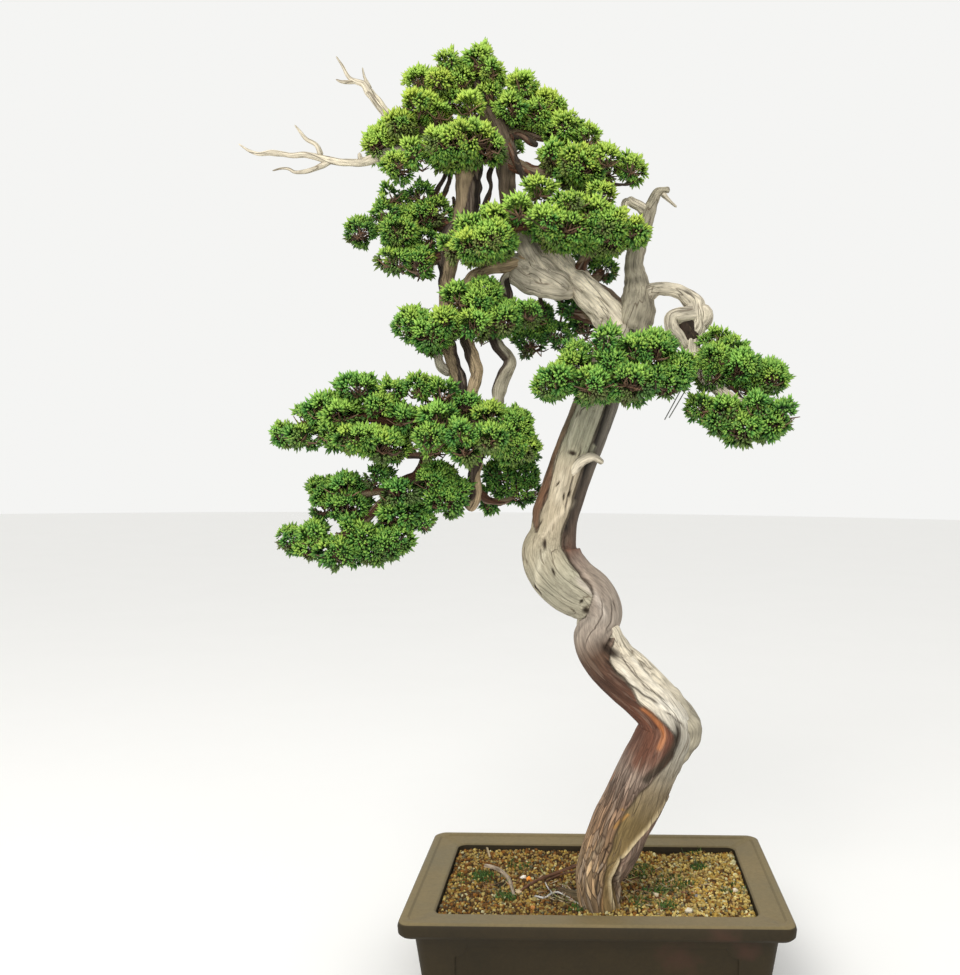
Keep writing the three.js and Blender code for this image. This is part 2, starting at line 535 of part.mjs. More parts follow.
function makeWood(extra) {
  return unionOf([
    limb(TRUNK, TRUNK_SIDES, extra, trunkLobes),
    ...rootsOf(extra),
    ...[BOUGH, UPRIGHT, SLAB].map((path) => limb(path, BOUGH_SIDES, extra)),
    ...[ARCH, HANGING, ARCHING, ELBOW_LIMB, LEFT_JIN, TOP_JIN]
      .map((path) => limb(path, LIMB_SIDES, extra)),
    ...LIMBS.map((path) => limb(path, BRANCH_SIDES, extra)),
    ...FINE_LIMBS.map((path) => limb(path, TWIG_SIDES, extra)),
  ]);
}

const wireBody = (path, extra) => limb(
  path.map((point) => [...point, WIRE_RADIUS]), LIMB_SIDES, extra);

// ---------- the soil ----------

// A block whose upper face is a field of seeded grains.
function gravelBlock() {
  const random = randomStream(SOIL_SEED);
  const columns = Math.round((RIM_LENGTH - 2 * RIM_BORDER) / GRAVEL_SIZE) + 2;
  const rows = Math.round((RIM_WIDTH - 2 * RIM_BORDER) / GRAVEL_SIZE) + 2;
  const points = [];
  const place = (i, j, lift) => points.push(
    (i - columns / 2 + GRAVEL_UNEVEN * (random() - 0.5)) * GRAVEL_SIZE,
    (j - rows / 2 + GRAVEL_UNEVEN * (random() - 0.5)) * GRAVEL_SIZE,
    SOIL_TOP + lift,
  ) / 3 - 1;
  const seam = [];
  for (let j = 0; j <= rows; j += 1) {
    for (let i = 0; i <= columns; i += 1) seam.push(place(i, j, -GRAVEL_RELIEF * random() / 2));
  }
  const index = [];
  const base = 0;
  const corner = (i, j) => seam[j * (columns + 1) + i];
  for (let j = 0; j < rows; j += 1) {
    for (let i = 0; i < columns; i += 1) {
      const crown = place(i + 0.5, j + 0.5, GRAVEL_RELIEF * (1 + random()) / 2);
      const ring = [corner(i, j), corner(i + 1, j), corner(i + 1, j + 1), corner(i, j + 1)];
      for (let k = 0; k < 4; k += 1) index.push(ring[k], ring[(k + 1) % 4], crown);
    }
  }
  const edge = [];
  for (let i = 0; i < columns; i += 1) edge.push(corner(i, 0));
  for (let j = 0; j < rows; j += 1) edge.push(corner(columns, j));
  for (let i = columns; i > 0; i -= 1) edge.push(corner(i, rows));
  for (let j = rows; j > 0; j -= 1) edge.push(corner(0, j));
  const lower = edge.map((v) => points.push(points[3 * v], points[3 * v + 1], base) / 3 - 1);
  const middle = points.push(0, 0, base) / 3 - 1;
  edge.forEach((v, k) => {
    const n = (k + 1) % edge.length;
    index.push(v, lower[k], lower[n], v, lower[n], edge[n], middle, lower[n], lower[k]);
  });
  const geometry = new THREE.BufferGeometry();
  geometry.setAttribute('position', new THREE.Float32BufferAttribute(points, 3));
  geometry.setIndex(index);
  return solidOf(geometry);
}

function makeSoil() {
  return gravelBlock()
    .intersect(potHollow(GAP, POT_HEIGHT))
    .subtract(unionOf([
      limb(TRUNK.slice(0, FOOT_RINGS), TRUNK_SIDES, FOOT_ROOM),
      ...rootsOf(GAP),
    ]));
}

// ---------- foliage ----------

function moundsOf(pad) {
  return pad.mounds.map(([x, z, width, height, forward]) => ({
    centre: new THREE.Vector3(x, pad.spine, z),
    size: new THREE.Vector3(width, Math.abs(forward) + MOUND_DEPTH * width, height),
  }));
}

// One mound: a coarse heart with a three-sided tuft standing out of each of its faces
// as far as the mound's surface, and shorter ones on the underside.
function tuftedMound({ centre, size }, others, random) {
  const covered = (p) => others.some((other) => (
    p.clone().sub(other.centre).divide(other.size).length() < COVERED_SHARE));
  const angle = () => 2 * Math.PI * random();
  const turn = new THREE.Quaternion().setFromEuler(new THREE.Euler(angle(), angle(), angle()));
  const ball = size.x < SMALL_MOUND
    ? new THREE.OctahedronGeometry(1, 0)
    : new THREE.IcosahedronGeometry(1, 0);
  ball.applyQuaternion(turn);
  const corners = ball.attributes.position;
  const at = (way, reach) => way.clone().multiply(size).multiplyScalar(reach).add(centre);
  const points = [];
  for (let i = 0; i < corners.count; i += 3) {
    const ways = [0, 1, 2].map((k) => new THREE.Vector3().fromBufferAttribute(corners, i + k));
    const out = ways[0].clone().add(ways[1]).add(ways[2]).normalize();
    const length = THREE.MathUtils.lerp(SHORTEST_TUFT, LONGEST_TUFT, random());
    const reach = out.z < -0.5 ? UNDERSIDE_SHARE : length;
    const roots = ways.map((way) => at(way, CORE_SHARE));
    const tip = at(out, reach);
    if (covered(tip)) points.push(...roots);
    else for (let k = 0; k < 3; k += 1) points.push(roots[k], roots[(k + 1) % 3], tip);
  }
  const geometry = new THREE.BufferGeometry().setFromPoints(points);
  return solidOf(geometry);
}

// Twigs that join a mound to the nearest one before it, where their hearts don't meet.
function linksOf(mounds) {
  return mounds.slice(1).flatMap((mound, k) => {
    const apart = (other) => other.centre.clone().sub(mound.centre)
      .divide(other.size.clone().add(mound.size)).length();
    const nearest = mounds.slice(0, k + 1).reduce(
      (best, other) => (apart(other) < apart(best) ? other : best));
    if (apart(nearest) < HEARTS_MEET) return [];
    const path = [mound.centre, nearest.centre].map((p) => [p.x, p.y, p.z, TWIG_LINK]);
    return [limb(path, TWIG_SIDES)];
  });
}

function makePad(pad, seed) {
  const random = randomStream(seed);
  const mounds = moundsOf(pad);
  return unionOf([
    ...mounds.map((mound) => tuftedMound(mound, mounds.filter((m) => m !== mound), random)),
    ...linksOf(mounds),
  ]);
}

// The largest connected part, free of the slivers that a cut can leave.
function mainBody(solid) {
  return solid.decompose().reduce((best, part) => (part.volume() > best.volume() ? part : best));
}

// ---------- the object ----------

const group = new THREE.Group();

function addPart(name, solid, material) {
  const mesh = new THREE.Mesh(geometryOf(solid), material);
  mesh.name = name;
  group.add(mesh);
}

addPart('pot', makePot(), STONEWARE);
addPart('soil', mainBody(makeSoil()), GRAVEL);
addPart('wood', makeWood(0), WOOD);

const woodSpace = makeWood(GAP);
Object.entries(WIRES).forEach(([name, path]) => {
  addPart(name, mainBody(wireBody(path, 0).subtract(woodSpace)), WIRE);
});

const taken = unionOf([woodSpace, ...Object.values(WIRES).map((path) => wireBody(path, GAP))]);
Object.entries(PADS).forEach(([name, pad], k) => {
  addPart(name, mainBody(makePad(pad, FIRST_SEED + k).subtract(taken)), NEEDLES);
});

const box = new THREE.Box3().setFromObject(group);
const middle = box.getCenter(new THREE.Vector3());
group.position.set(-middle.x, -middle.y, -box.min.z);

export default group;
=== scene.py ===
"""A large juniper bonsai in a rectangular stoneware pot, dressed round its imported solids.

Lengths in the tables are millimetres about the middle of the pot, with z = 0 under its
feet and the pot's front towards -Y.
"""

import math

import bpy
import numpy as np
from mathutils import Matrix, Vector


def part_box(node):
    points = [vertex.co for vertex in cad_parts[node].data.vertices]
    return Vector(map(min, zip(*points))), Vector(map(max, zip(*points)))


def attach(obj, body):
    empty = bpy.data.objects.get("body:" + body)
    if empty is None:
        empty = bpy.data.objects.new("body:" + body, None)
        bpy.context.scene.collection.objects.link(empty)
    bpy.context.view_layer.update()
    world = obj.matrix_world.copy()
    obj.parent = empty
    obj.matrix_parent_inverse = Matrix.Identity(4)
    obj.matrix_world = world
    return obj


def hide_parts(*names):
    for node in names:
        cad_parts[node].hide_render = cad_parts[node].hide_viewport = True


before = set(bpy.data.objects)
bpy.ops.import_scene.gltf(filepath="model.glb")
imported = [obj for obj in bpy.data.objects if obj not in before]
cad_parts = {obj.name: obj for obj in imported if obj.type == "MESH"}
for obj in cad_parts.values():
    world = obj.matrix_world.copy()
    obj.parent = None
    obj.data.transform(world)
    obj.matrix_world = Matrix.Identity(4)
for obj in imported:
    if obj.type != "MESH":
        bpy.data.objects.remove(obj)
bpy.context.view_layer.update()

MM = 0.001
GOLDEN_TURN = 2.39996  # radians between neighbours of an even spread
ANY_TURN = 6.28  # radians, the range of a turn drawn at random
POT_LOW, POT_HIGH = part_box("pot")
ORIGIN = np.array([(POT_LOW.x + POT_HIGH.x) / 2, (POT_LOW.y + POT_HIGH.y) / 2, 0.0])

# ---------- camera ----------

PICTURE_HEIGHT = 975
FOCAL = 1010.75  # in pixels
AXIS_SEEN = (592.0, 472.0)  # pixel that the camera looks straight at
PICTURE_MIDDLE = (480.0, 487.5)
EYE = (-9.5, -1073.0, 532.0)
ROLL = math.radians(0.6)
SENSOR = 36.0


def place_camera():
    data = bpy.data.cameras.new("camera")
    data.sensor_width = SENSOR
    data.lens = FOCAL * SENSOR / PICTURE_HEIGHT
    data.shift_x = (PICTURE_MIDDLE[0] - AXIS_SEEN[0]) / PICTURE_HEIGHT
    data.shift_y = (AXIS_SEEN[1] - PICTURE_MIDDLE[1]) / PICTURE_HEIGHT
    data.clip_start = 0.05
    data.clip_end = 50.0
    camera = bpy.data.objects.new("camera", data)
    camera.location = ORIGIN + np.array(EYE) * MM
    camera.rotation_euler = (math.pi / 2, -ROLL, 0.0)
    bpy.context.scene.collection.objects.link(camera)
    bpy.context.scene.camera = camera


def sight(u, v):
    """Slopes of the line of sight through a pixel, sideways and down."""
    du, dv = u - AXIS_SEEN[0], v - AXIS_SEEN[1]
    across = du * math.cos(ROLL) + dv * math.sin(ROLL)
    down = dv * math.cos(ROLL) - du * math.sin(ROLL)
    return across / FOCAL, down / FOCAL


def seen_at_height(u, v, z):
    """The place at height z behind a pixel."""
    across, down = sight(u, v)
    depth = (EYE[2] - z) / down
    return EYE[0] + across * depth, EYE[1] + depth, z


def seen_at_depth(u, v, y):
    """The place at depth y behind a pixel."""
    across, down = sight(u, v)
    depth = y - EYE[1]
    return EYE[0] + across * depth, y, EYE[2] - down * depth


place_camera()

# ---------- meshes ----------


def in_metres(points):
    return np.asarray(points, float) * MM + ORIGIN


def make_piece(name, points, faces, material, slot, replaced=(), smooth=True, **attributes):
    """A mesh piece from points in millimetres, lists of faces and values for each point."""
    mesh = bpy.data.meshes.new(name)
    mesh.vertices.add(len(points))
    mesh.vertices.foreach_set("co", in_metres(points).astype(np.float32).ravel())
    faces = [np.asarray(block, np.int32) for block in faces if len(block)]
    corners = np.concatenate([block.ravel() for block in faces])
    sizes = np.concatenate([np.full(len(block), block.shape[1]) for block in faces])
    starts = np.concatenate([[0], np.cumsum(sizes)[:-1]]).astype(np.int32)
    mesh.loops.add(len(corners))
    mesh.loops.foreach_set("vertex_index", corners)
    mesh.polygons.add(len(sizes))
    mesh.polygons.foreach_set("loop_start", starts)
    mesh.polygons.foreach_set("use_smooth", np.full(len(sizes), smooth))
    mesh.update(calc_edges=True)
    for key, values in attributes.items():
        values = np.asarray(values, np.float32)
        if values.ndim == 1:
            mesh.attributes.new(key, "FLOAT", "POINT").data.foreach_set("value", values)
        elif key == "grain":
            mesh.attributes.new(key, "FLOAT_VECTOR", "POINT").data.foreach_set(
                "vector", values.ravel())
        else:
            full = np.ones((len(values), 4), np.float32)
            full[:, :3] = values
            mesh.attributes.new(key, "FLOAT_COLOR", "POINT").data.foreach_set(
                "color", full.ravel())
    made = bpy.data.objects.new(name, mesh)
    bpy.context.scene.collection.objects.link(made)
    return finish_piece(made, material, replaced)


def finish_piece(made, material, replaced=()):
    made.data.materials.clear()
    made.data.materials.append(material)
    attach(made, "root")
    if replaced:
        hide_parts(*replaced)
    return made


def joined(parts):
    """One set of points, face blocks and point values from several."""
    points, blocks, values, offset = [], {}, {}, 0
    for part in parts:
        points.append(part["points"])
        for block in part["faces"]:
            block = np.asarray(block)
            blocks.setdefault(block.shape[1], []).append(block + offset)
        for key, value in part["values"].items():
            values.setdefault(key, []).append(value)
        offset += len(part["points"])
    return (
        np.concatenate(points),
        [np.concatenate(block) for block in blocks.values()],
        {key: np.concatenate(value) for key, value in values.items()},
    )


def unit(vectors):
    return vectors / np.maximum(np.linalg.norm(vectors, axis=-1, keepdims=True), 1e-9)


# ---------- materials ----------


def add_node(tree, kind, inputs=None, **settings):
    made = tree.nodes.new(kind)
    for key, value in settings.items():
        setattr(made, key, value)
    for key, value in (inputs or {}).items():
        socket = made.inputs[key]
        if isinstance(value, bpy.types.NodeSocket):
            tree.links.new(value, socket)
        else:
            socket.default_value = value
    return made


def new_group(name, inputs, outputs):
    group = bpy.data.node_groups.new(name, "ShaderNodeTree")
    kinds = {"vector": "NodeSocketVector", "value": "NodeSocketFloat",
             "colour": "NodeSocketColor"}
    for key, kind in inputs.items():
        group.interface.new_socket(key, in_out="INPUT", socket_type=kinds[kind])
    for key, kind in outputs.items():
        group.interface.new_socket(key, in_out="OUTPUT", socket_type=kinds[kind])
    return group, group.nodes.new("NodeGroupInput"), group.nodes.new("NodeGroupOutput")


def math_node(tree, operation, first, second=0.0, clamp=False):
    return add_node(tree, "ShaderNodeMath", {0: first, 1: second},
                    operation=operation, use_clamp=clamp).outputs[0]


def mapped(tree, value, low, high, to_low=0.0, to_high=1.0):
    return add_node(tree, "ShaderNodeMapRange", {
        "Value": value, "From Min": low, "From Max": high,
        "To Min": to_low, "To Max": to_high}).outputs[0]


def mixed(tree, factor, first, second, blend="MIX"):
    made = add_node(tree, "ShaderNodeMix", data_type="RGBA", blend_type=blend)
    for key, value in ((0, factor), (6, first), (7, second)):
        if isinstance(value, bpy.types.NodeSocket):
            tree.links.new(value, made.inputs[key])
        else:
            made.inputs[key].default_value = value
    return made.outputs[2]


def mottling_group():
    """Uneven colour: a factor about 1 that varies from place to place."""
    group, given, out = new_group(
        "mottling", {"Place": "vector", "Scale": "value", "Amount": "value"},
        {"Factor": "value", "Height": "value"})
    noise = add_node(group, "ShaderNodeTexNoise", {
        "Vector": given.outputs["Place"], "Scale": given.outputs["Scale"],
        "Detail": 6.0, "Roughness": 0.65})
    centred = math_node(group, "SUBTRACT", noise.outputs[0], 0.5)
    swing = math_node(group, "MULTIPLY", centred, given.outputs["Amount"])
    group.links.new(math_node(group, "ADD", swing, 1.0), out.inputs["Factor"])
    group.links.new(noise.outputs[0], out.inputs["Height"])
    return group


def streaks_group():
    """Grain that runs along a limb: soft streaks, and thin cracks between them."""
    group, given, out = new_group(
        "streaks", {"Place": "vector", "Scale": "value", "Crack Width": "value"},
        {"Streaks": "value", "Cracks": "value"})
    noise = add_node(group, "ShaderNodeTexNoise", {
        "Vector": given.outputs["Place"], "Scale": given.outputs["Scale"],
        "Detail": 5.0, "Roughness": 0.7})
    coarse = add_node(group, "ShaderNodeTexNoise", {
        "Vector": given.outputs["Place"],
        "Scale": math_node(group, "MULTIPLY", given.outputs["Scale"], 0.45),
        "Detail": 2.0, "Roughness": 0.5})
    off_line = math_node(group, "ABSOLUTE",
                         math_node(group, "SUBTRACT", coarse.outputs[0], 0.5))
    cracks = math_node(group, "SUBTRACT", 1.0, math_node(
        group, "DIVIDE", off_line, given.outputs["Crack Width"], clamp=True))
    group.links.new(noise.outputs[0], out.inputs["Streaks"])
    group.links.new(cracks, out.inputs["Cracks"])
    return group


MOTTLING = mottling_group()
STREAKS = streaks_group()


def placed_group(tree, group, **inputs):
    made = tree.nodes.new("ShaderNodeGroup")
    made.node_tree = group
    for key, value in inputs.items():
        socket = made.inputs[key.replace("_", " ")]
        if isinstance(value, bpy.types.NodeSocket):
            tree.links.new(value, socket)
        else:
            socket.default_value = value
    return made


def new_material(name, roughness, specular=0.5):
    material = bpy.data.materials.new(name)
    material.use_nodes = True
    tree = material.node_tree
    shader = tree.nodes["Principled BSDF"]
    shader.inputs["Roughness"].default_value = roughness
    shader.inputs["Specular IOR Level"].default_value = specular
    return material, tree, shader


def attribute(tree, name, output="Color"):
    return add_node(tree, "ShaderNodeAttribute", attribute_name=name).outputs[output]


def object_place(tree):
    return add_node(tree, "ShaderNodeTexCoord").outputs["Object"]


def raise_surface(tree, shader, height, distance, strength=1.0):
    bump = add_node(tree, "ShaderNodeBump", {
        "Height": height, "Distance": distance, "Strength": strength})
    tree.links.new(bump.outputs[0], shader.inputs["Normal"])


CRACK_BROWN = (0.12, 0.085, 0.05, 1.0)
PALE_FLAKE = (0.42, 0.33, 0.25, 1.0)
BARK_GAP = (0.035, 0.015, 0.01, 1.0)
CLAY_TONES = ((0.018, 0.0125, 0.004, 1.0), (0.029, 0.020, 0.008, 1.0))
# Paler clay for what faces up: painted light from above.
TOP_LIGHT_TONES = ((0.165, 0.132, 0.066, 1.0), (0.225, 0.170, 0.082, 1.0))
STAIN_RED = (0.066, 0.026, 0.017, 1.0)
WIRE_GREY = (0.32, 0.32, 0.31, 1.0)
# Height of the finest relief, in metres.
WOOD_RELIEF = 0.0011
GRAVEL_RELIEF = 0.0006
CLAY_RELIEF = 0.0005
# Red stains on the pot's front: pixel of the photograph, depth, and reach in millimetres.
RED_STAINS = [((678, 962), -107, 20), ((720, 935), -123, 15), ((745, 950), -109, 12)]


def link_mottled(tree, shader, colour, scale, amount):
    """Gives the shader the colour, made uneven, and returns the height of its pattern."""
    mottle = placed_group(tree, MOTTLING, Place=object_place(tree), Scale=scale, Amount=amount)
    uneven = mixed(tree, 1.0, colour, mottle.outputs["Factor"], "MULTIPLY")
    tree.links.new(uneven, shader.inputs["Base Color"])
    return mottle.outputs["Height"]


def wood_material():
    """Weathered deadwood with strips of live bark, told apart by the bark attribute."""
    material, tree, shader = new_material("weathered wood", 0.8, 0.25)
    grain = attribute(tree, "grain", "Vector")
    tint = attribute(tree, "tint")
    bark = attribute(tree, "bark", "Fac")
    fine = placed_group(tree, STREAKS, Place=grain, Scale=0.55, Crack_Width=0.022)
    wide = placed_group(tree, STREAKS, Place=grain, Scale=0.16, Crack_Width=0.012)
    flaky = attribute(tree, "flakes", "Fac")
    streak = mapped(tree, fine.outputs["Streaks"], 0.3, 0.7, 0.6, 1.3)
    dead = mixed(tree, 1.0, tint, streak, "MULTIPLY")
    cracks = math_node(tree, "MAXIMUM", math_node(
        tree, "MULTIPLY", fine.outputs["Cracks"], 0.35), wide.outputs["Cracks"])
    dead = mixed(tree, math_node(tree, "MULTIPLY", cracks, 0.75), dead, CRACK_BROWN)
    flakes, fissures = (
        add_node(tree, "ShaderNodeTexVoronoi", {
            "Vector": grain, "Scale": 0.34, "Randomness": 1.0}, feature=feature)
        for feature in ("F1", "DISTANCE_TO_EDGE"))
    plate = add_node(tree, "ShaderNodeSeparateColor", {"Color": flakes.outputs["Color"]})
    shade = mapped(tree, plate.outputs[0], 0.0, 1.0, 0.45, 1.6)
    live = mixed(tree, flaky, tint, mixed(tree, 1.0, tint, shade, "MULTIPLY"))
    pale_plates = mapped(tree, plate.outputs[1], 0.6, 1.0, 0.0, 0.5)
    live = mixed(tree, math_node(tree, "MULTIPLY", pale_plates, flaky), live, PALE_FLAKE)
    gap = mapped(tree, fissures.outputs["Distance"], 0.0, 0.09)
    shown_gap = math_node(tree, "MULTIPLY", math_node(tree, "SUBTRACT", 1.0, gap), flaky)
    live = mixed(tree, math_node(tree, "MULTIPLY", shown_gap, 0.7), live, BARK_GAP)
    live = mixed(tree, 1.0, live, streak, "MULTIPLY")
    tree.links.new(mixed(tree, bark, dead, live), shader.inputs["Base Color"])
    dead_height = math_node(tree, "SUBTRACT", fine.outputs["Streaks"],
                            math_node(tree, "MULTIPLY", cracks, 0.8))
    live_height = math_node(tree, "SUBTRACT", fine.outputs["Streaks"], shown_gap)
    height = add_node(tree, "ShaderNodeMix", {0: bark, 2: dead_height, 3: live_height})
    raise_surface(tree, shader, height.outputs[0], WOOD_RELIEF)
    return material


def foliage_material():
    material, tree, shader = new_material("juniper sprays", 0.5, 0.35)
    pattern = link_mottled(tree, shader, attribute(tree, "tint"), 260.0, 0.7)
    tree.links.new(mapped(tree, pattern, 0.3, 0.7, 0.42, 0.62), shader.inputs["Roughness"])
    return material


def gravel_material():
    material, tree, shader = new_material("gravel", 0.9, 0.3)
    pattern = link_mottled(tree, shader, attribute(tree, "tint"), 700.0, 1.0)
    raise_surface(tree, shader, pattern, GRAVEL_RELIEF)
    return material


def stoneware_material():
    """Unglazed brown clay: smoky patches, red stains, and painted light from above that makes what
    faces up paler.
    """
    material, tree, shader = new_material("stoneware", 0.55, 0.22)
    place = object_place(tree)
    large = placed_group(tree, MOTTLING, Place=place, Scale=9.0, Amount=0.9)
    small = placed_group(tree, MOTTLING, Place=place, Scale=240.0, Amount=0.5)
    blots = placed_group(tree, MOTTLING, Place=place, Scale=60.0, Amount=0.5)
    clay = mixed(tree, mapped(tree, large.outputs["Height"], 0.35, 0.65), *CLAY_TONES)
    for (u, v), depth, millimetres in RED_STAINS:
        spot = ORIGIN + np.array(seen_at_depth(u, v, depth)) * MM
        reach = millimetres * MM
        away = add_node(tree, "ShaderNodeVectorMath", {0: place, 1: spot},
                        operation="DISTANCE")
        worn = math_node(tree, "ADD", away.outputs["Value"], mapped(
            tree, blots.outputs["Height"], 0.3, 0.7, -0.6 * reach, 0.6 * reach))
        clay = mixed(tree, mapped(tree, worn, 1.2 * reach, 0.2 * reach, 0.0, 0.45), clay,
                     STAIN_RED)
    # Painted light from above: the clay turns paler where its surface faces up.
    facing = add_node(tree, "ShaderNodeSeparateXYZ", {
        0: add_node(tree, "ShaderNodeNewGeometry").outputs["Normal"]})
    top_light = mapped(tree, facing.outputs["Z"], 0.35, 0.95)
    pale = mixed(tree, mapped(tree, large.outputs["Height"], 0.3, 0.7), *TOP_LIGHT_TONES)
    clay = mixed(tree, top_light, clay, pale)
    clay = mixed(tree, 1.0, clay, small.outputs["Factor"], "MULTIPLY")
    tree.links.new(clay, shader.inputs["Base Color"])
    tree.links.new(mapped(tree, large.outputs["Height"], 0.3, 0.7, 0.5, 0.72),
                   shader.inputs["Roughness"])
    raise_surface(tree, shader, small.outputs["Height"], CLAY_RELIEF, 0.5)
    return material


def wire_material():
    material, tree, shader = new_material("dull wire", 0.45)
    link_mottled(tree, shader, WIRE_GREY, 500.0, 0.6)
    shader.inputs["Metallic"].default_value = 0.85
    return material


WOOD = wood_material()
FOLIAGE = foliage_material()
GRAVEL = gravel_material()
STONEWARE = stoneware_material()
WIRE = wire_material()

# ---------- the wood: [x, y, z, radius] along each limb, close to the solids' own ----------

TRUNK = [
    (7, -58, 74, 18), (5, -57, 92, 18), (2, -54, 107, 19), (2, -51, 125, 22),
    (9, -49, 141, 25.5), (18, -48, 160, 27.5), (25, -49, 178, 28), (34, -50, 195, 28),
    (42, -51, 213, 28), (54, -53, 239, 28), (63, -54, 257, 27.5), (70, -54, 275, 27),
    (63, -52, 292, 25), (47, -49, 309, 25), (28, -46, 326, 25.5), (9, -44, 343, 24),
    (-1, -42, 361, 23), (-2, -40, 375, 21.5), (-1, -40, 388, 22.5), (-10, -40, 402, 25.5),
    (-31, -41, 417, 28), (-46, -42, 434, 29.5), (-52.5, -41, 452, 28), (-49.5, -40, 469, 22.5),
    (-47, -37, 488, 22), (-40.5, -34, 508, 21.5), (-34, -31, 528, 21.5), (-27, -28, 548, 21.5),
    (-19.5, -25, 568, 21.5), (-13, -21, 585, 21.5), (-7, -17, 602, 21.5), (4, -11, 634, 21),
    (15, -6, 666, 21), (24, 0, 690, 19),
]
BOUGH = [
    (25, -2, 672, 16), (10, 0, 695, 17), (-9, 2, 716, 16), (-30, 4, 734, 14.5),
    (-50, 5, 754, 13.5), (-66, 6, 772, 13), (-82, 6, 792, 11.5), (-96, 4, 812, 10),
    (-103, 1, 831, 8), (-103, -2, 851, 9), (-104, -6, 871, 10), (-110, -10, 889, 9),
    (-118, -12, 906, 8), (-127, -14, 923, 6), (-135, -16, 941, 3),
]
UPRIGHT = [
    (28, -2, 676, 18), (36, 0, 706, 18), (36, 2, 730, 13.5), (33, 4, 752, 9.5),
    (36, 5, 772, 9.5), (43, 4, 795, 8), (48, 2, 810, 7), (53, 1, 822, 5.5),
    (58, 0, 830, 4.5), (64, -1, 832, 3), (70, -3, 831, 4),
]
SLAB = [
    (10, -50, 378, 7), (24, -54, 352, 9), (41, -55, 333, 11), (59, -56, 314, 13),
    (77, -56, 292, 15), (86, -54, 273, 18), (77, -53, 252, 15), (64, -52, 225, 12),
    (50, -50, 195, 9), (40, -48, 165, 6),
]
ARCH = [
    (44, 0, 720, 11), (58, -7, 726, 6.5), (68, -10, 725, 6.5), (79, -14, 722, 7),
    (89, -19, 714.5, 8.5), (96, -23, 706, 10), (96, -27, 697, 10.5), (97, -31, 682, 9),
    (92, -34, 668, 8.5), (92, -38, 655, 8), (101, -48, 635, 7), (120, -62, 613, 6),
    (142, -73, 598, 4),
]
HANGING = [
    (-110, -10, 884, 8), (-127, -14, 881, 10), (-140, -16, 867, 13),
    (-142, -17, 844, 12.5), (-143, -16, 823, 12), (-144, -14, 801, 12),
    (-151, -12, 784, 13), (-160, -10, 766, 12), (-163, -8, 745, 8), (-165, -8, 720, 7),
    (-165, -10, 692, 7), (-163, -12, 666, 7), (-157, -16, 645, 6), (-148, -22, 624, 7),
    (-144, -28, 603, 5),
]
ARCHING = [
    (-67, 0, 754, 9), (-88, -8, 752, 8), (-108, -14, 746, 7), (-123, -18, 742, 6),
    (-137, -20, 732, 6), (-144, -20, 715, 6), (-145, -20, 691, 6), (-141, -22, 668, 6),
    (-135, -24, 651, 6.5), (-130, -26, 635, 6), (-133, -28, 619, 6), (-136, -32, 601, 5),
    (-131, -36, 579, 5), (-127, -32, 553, 5.5), (-131, -26, 528, 6), (-130, -20, 507, 5.5),
    (-138, -17, 490, 6),
]
ELBOW_LIMB = [
    (-94, -8, 742, 6), (-104, -10, 731, 5), (-100, -10, 716, 5), (-108, -10, 699, 5),
    (-116, -12, 678, 5.5), (-109, -14, 663, 6), (-96, -16, 646, 6), (-102, -18, 631, 6.5),
    (-107, -22, 614, 6.5), (-107, -28, 592, 4),
]
LEFT_JIN = [
    (-110, -10, 882, 8), (-141, -16, 875, 7), (-182, -20, 866, 6),
    (-227, -20, 861, 5.5), (-239, -22, 856, 4.8), (-249, -22, 852, 4.4),
    (-264, -22, 851, 3.6), (-285, -22, 853, 3.8), (-298, -23, 856, 3.4),
    (-311, -24, 858, 3), (-326, -25, 857, 2.6), (-344, -27, 859, 2.8),
    (-358, -29, 857, 1.8), (-369, -30, 861, 1.3), (-378, -30, 867, 0.6),
]
TOP_JIN = [
    (-118, -12, 902, 7), (-152, -14, 894, 6), (-184, -12, 892, 6),
    (-222, -10, 899, 5.5), (-233, -9, 911, 5), (-242, -8, 922, 4.6),
    (-249, -7, 931, 4.2), (-255, -5, 939, 3.6), (-263, -4, 942, 2.7),
    (-270, -3, 946, 2.1), (-278, -4, 959, 1.4), (-285, -4, 969, 0.7),
]
PALE_LIMBS = [
    [(47, 2, 808, 6), (39, 0, 814, 5.5), (30, -2, 818, 5), (24, -3, 822, 4.5)],
    [(32, -2, 817, 4.5), (23, -4, 818, 3.5), (21, -5, 810, 3.2), (21, -5, 801, 2.4)],
    [(-36, -42, 520, 5), (-28, -48, 534, 5.5), (-18, -51, 544, 5), (-8, -50, 547, 4),
     (2, -46, 541, 2.6)],
    [(-294, -24, 857, 3.2), (-299, -24, 868, 2.4), (-310, -25, 875, 2),
     (-316, -26, 882, 1.4), (-321, -28, 888, 0.6)],
    [(-284, -22, 853, 3.2), (-297, -20, 847, 2.8), (-313, -19, 842, 2.1),
     (-324, -18, 842, 1.8), (-329, -17, 845, 1.5), (-337, -16, 846, 1.2),
     (-348, -14, 844, 0.6)],
    [(-263, -4, 942, 2.4), (-273, -3, 942, 2), (-280, -2, 943, 1.6), (-286, 0, 946, 0.6)],
    [(-248, -6, 933, 3), (-251, -6, 940, 1.9), (-254, -7, 947, 1.3),
     (-256, -8, 956, 0.6)],
    [(62, -1, 828, 3.4), (69, -4, 820, 2), (77, -7, 812, 1.2)],
    [(-253, -22, 853, 3.2), (-254, -24, 857, 2.2), (-254, -25, 861, 1.4)],
    [(96, -25, 699, 9), (105, -26, 697, 10), (104, -28, 689, 8), (95, -31, 682, 7)],
]
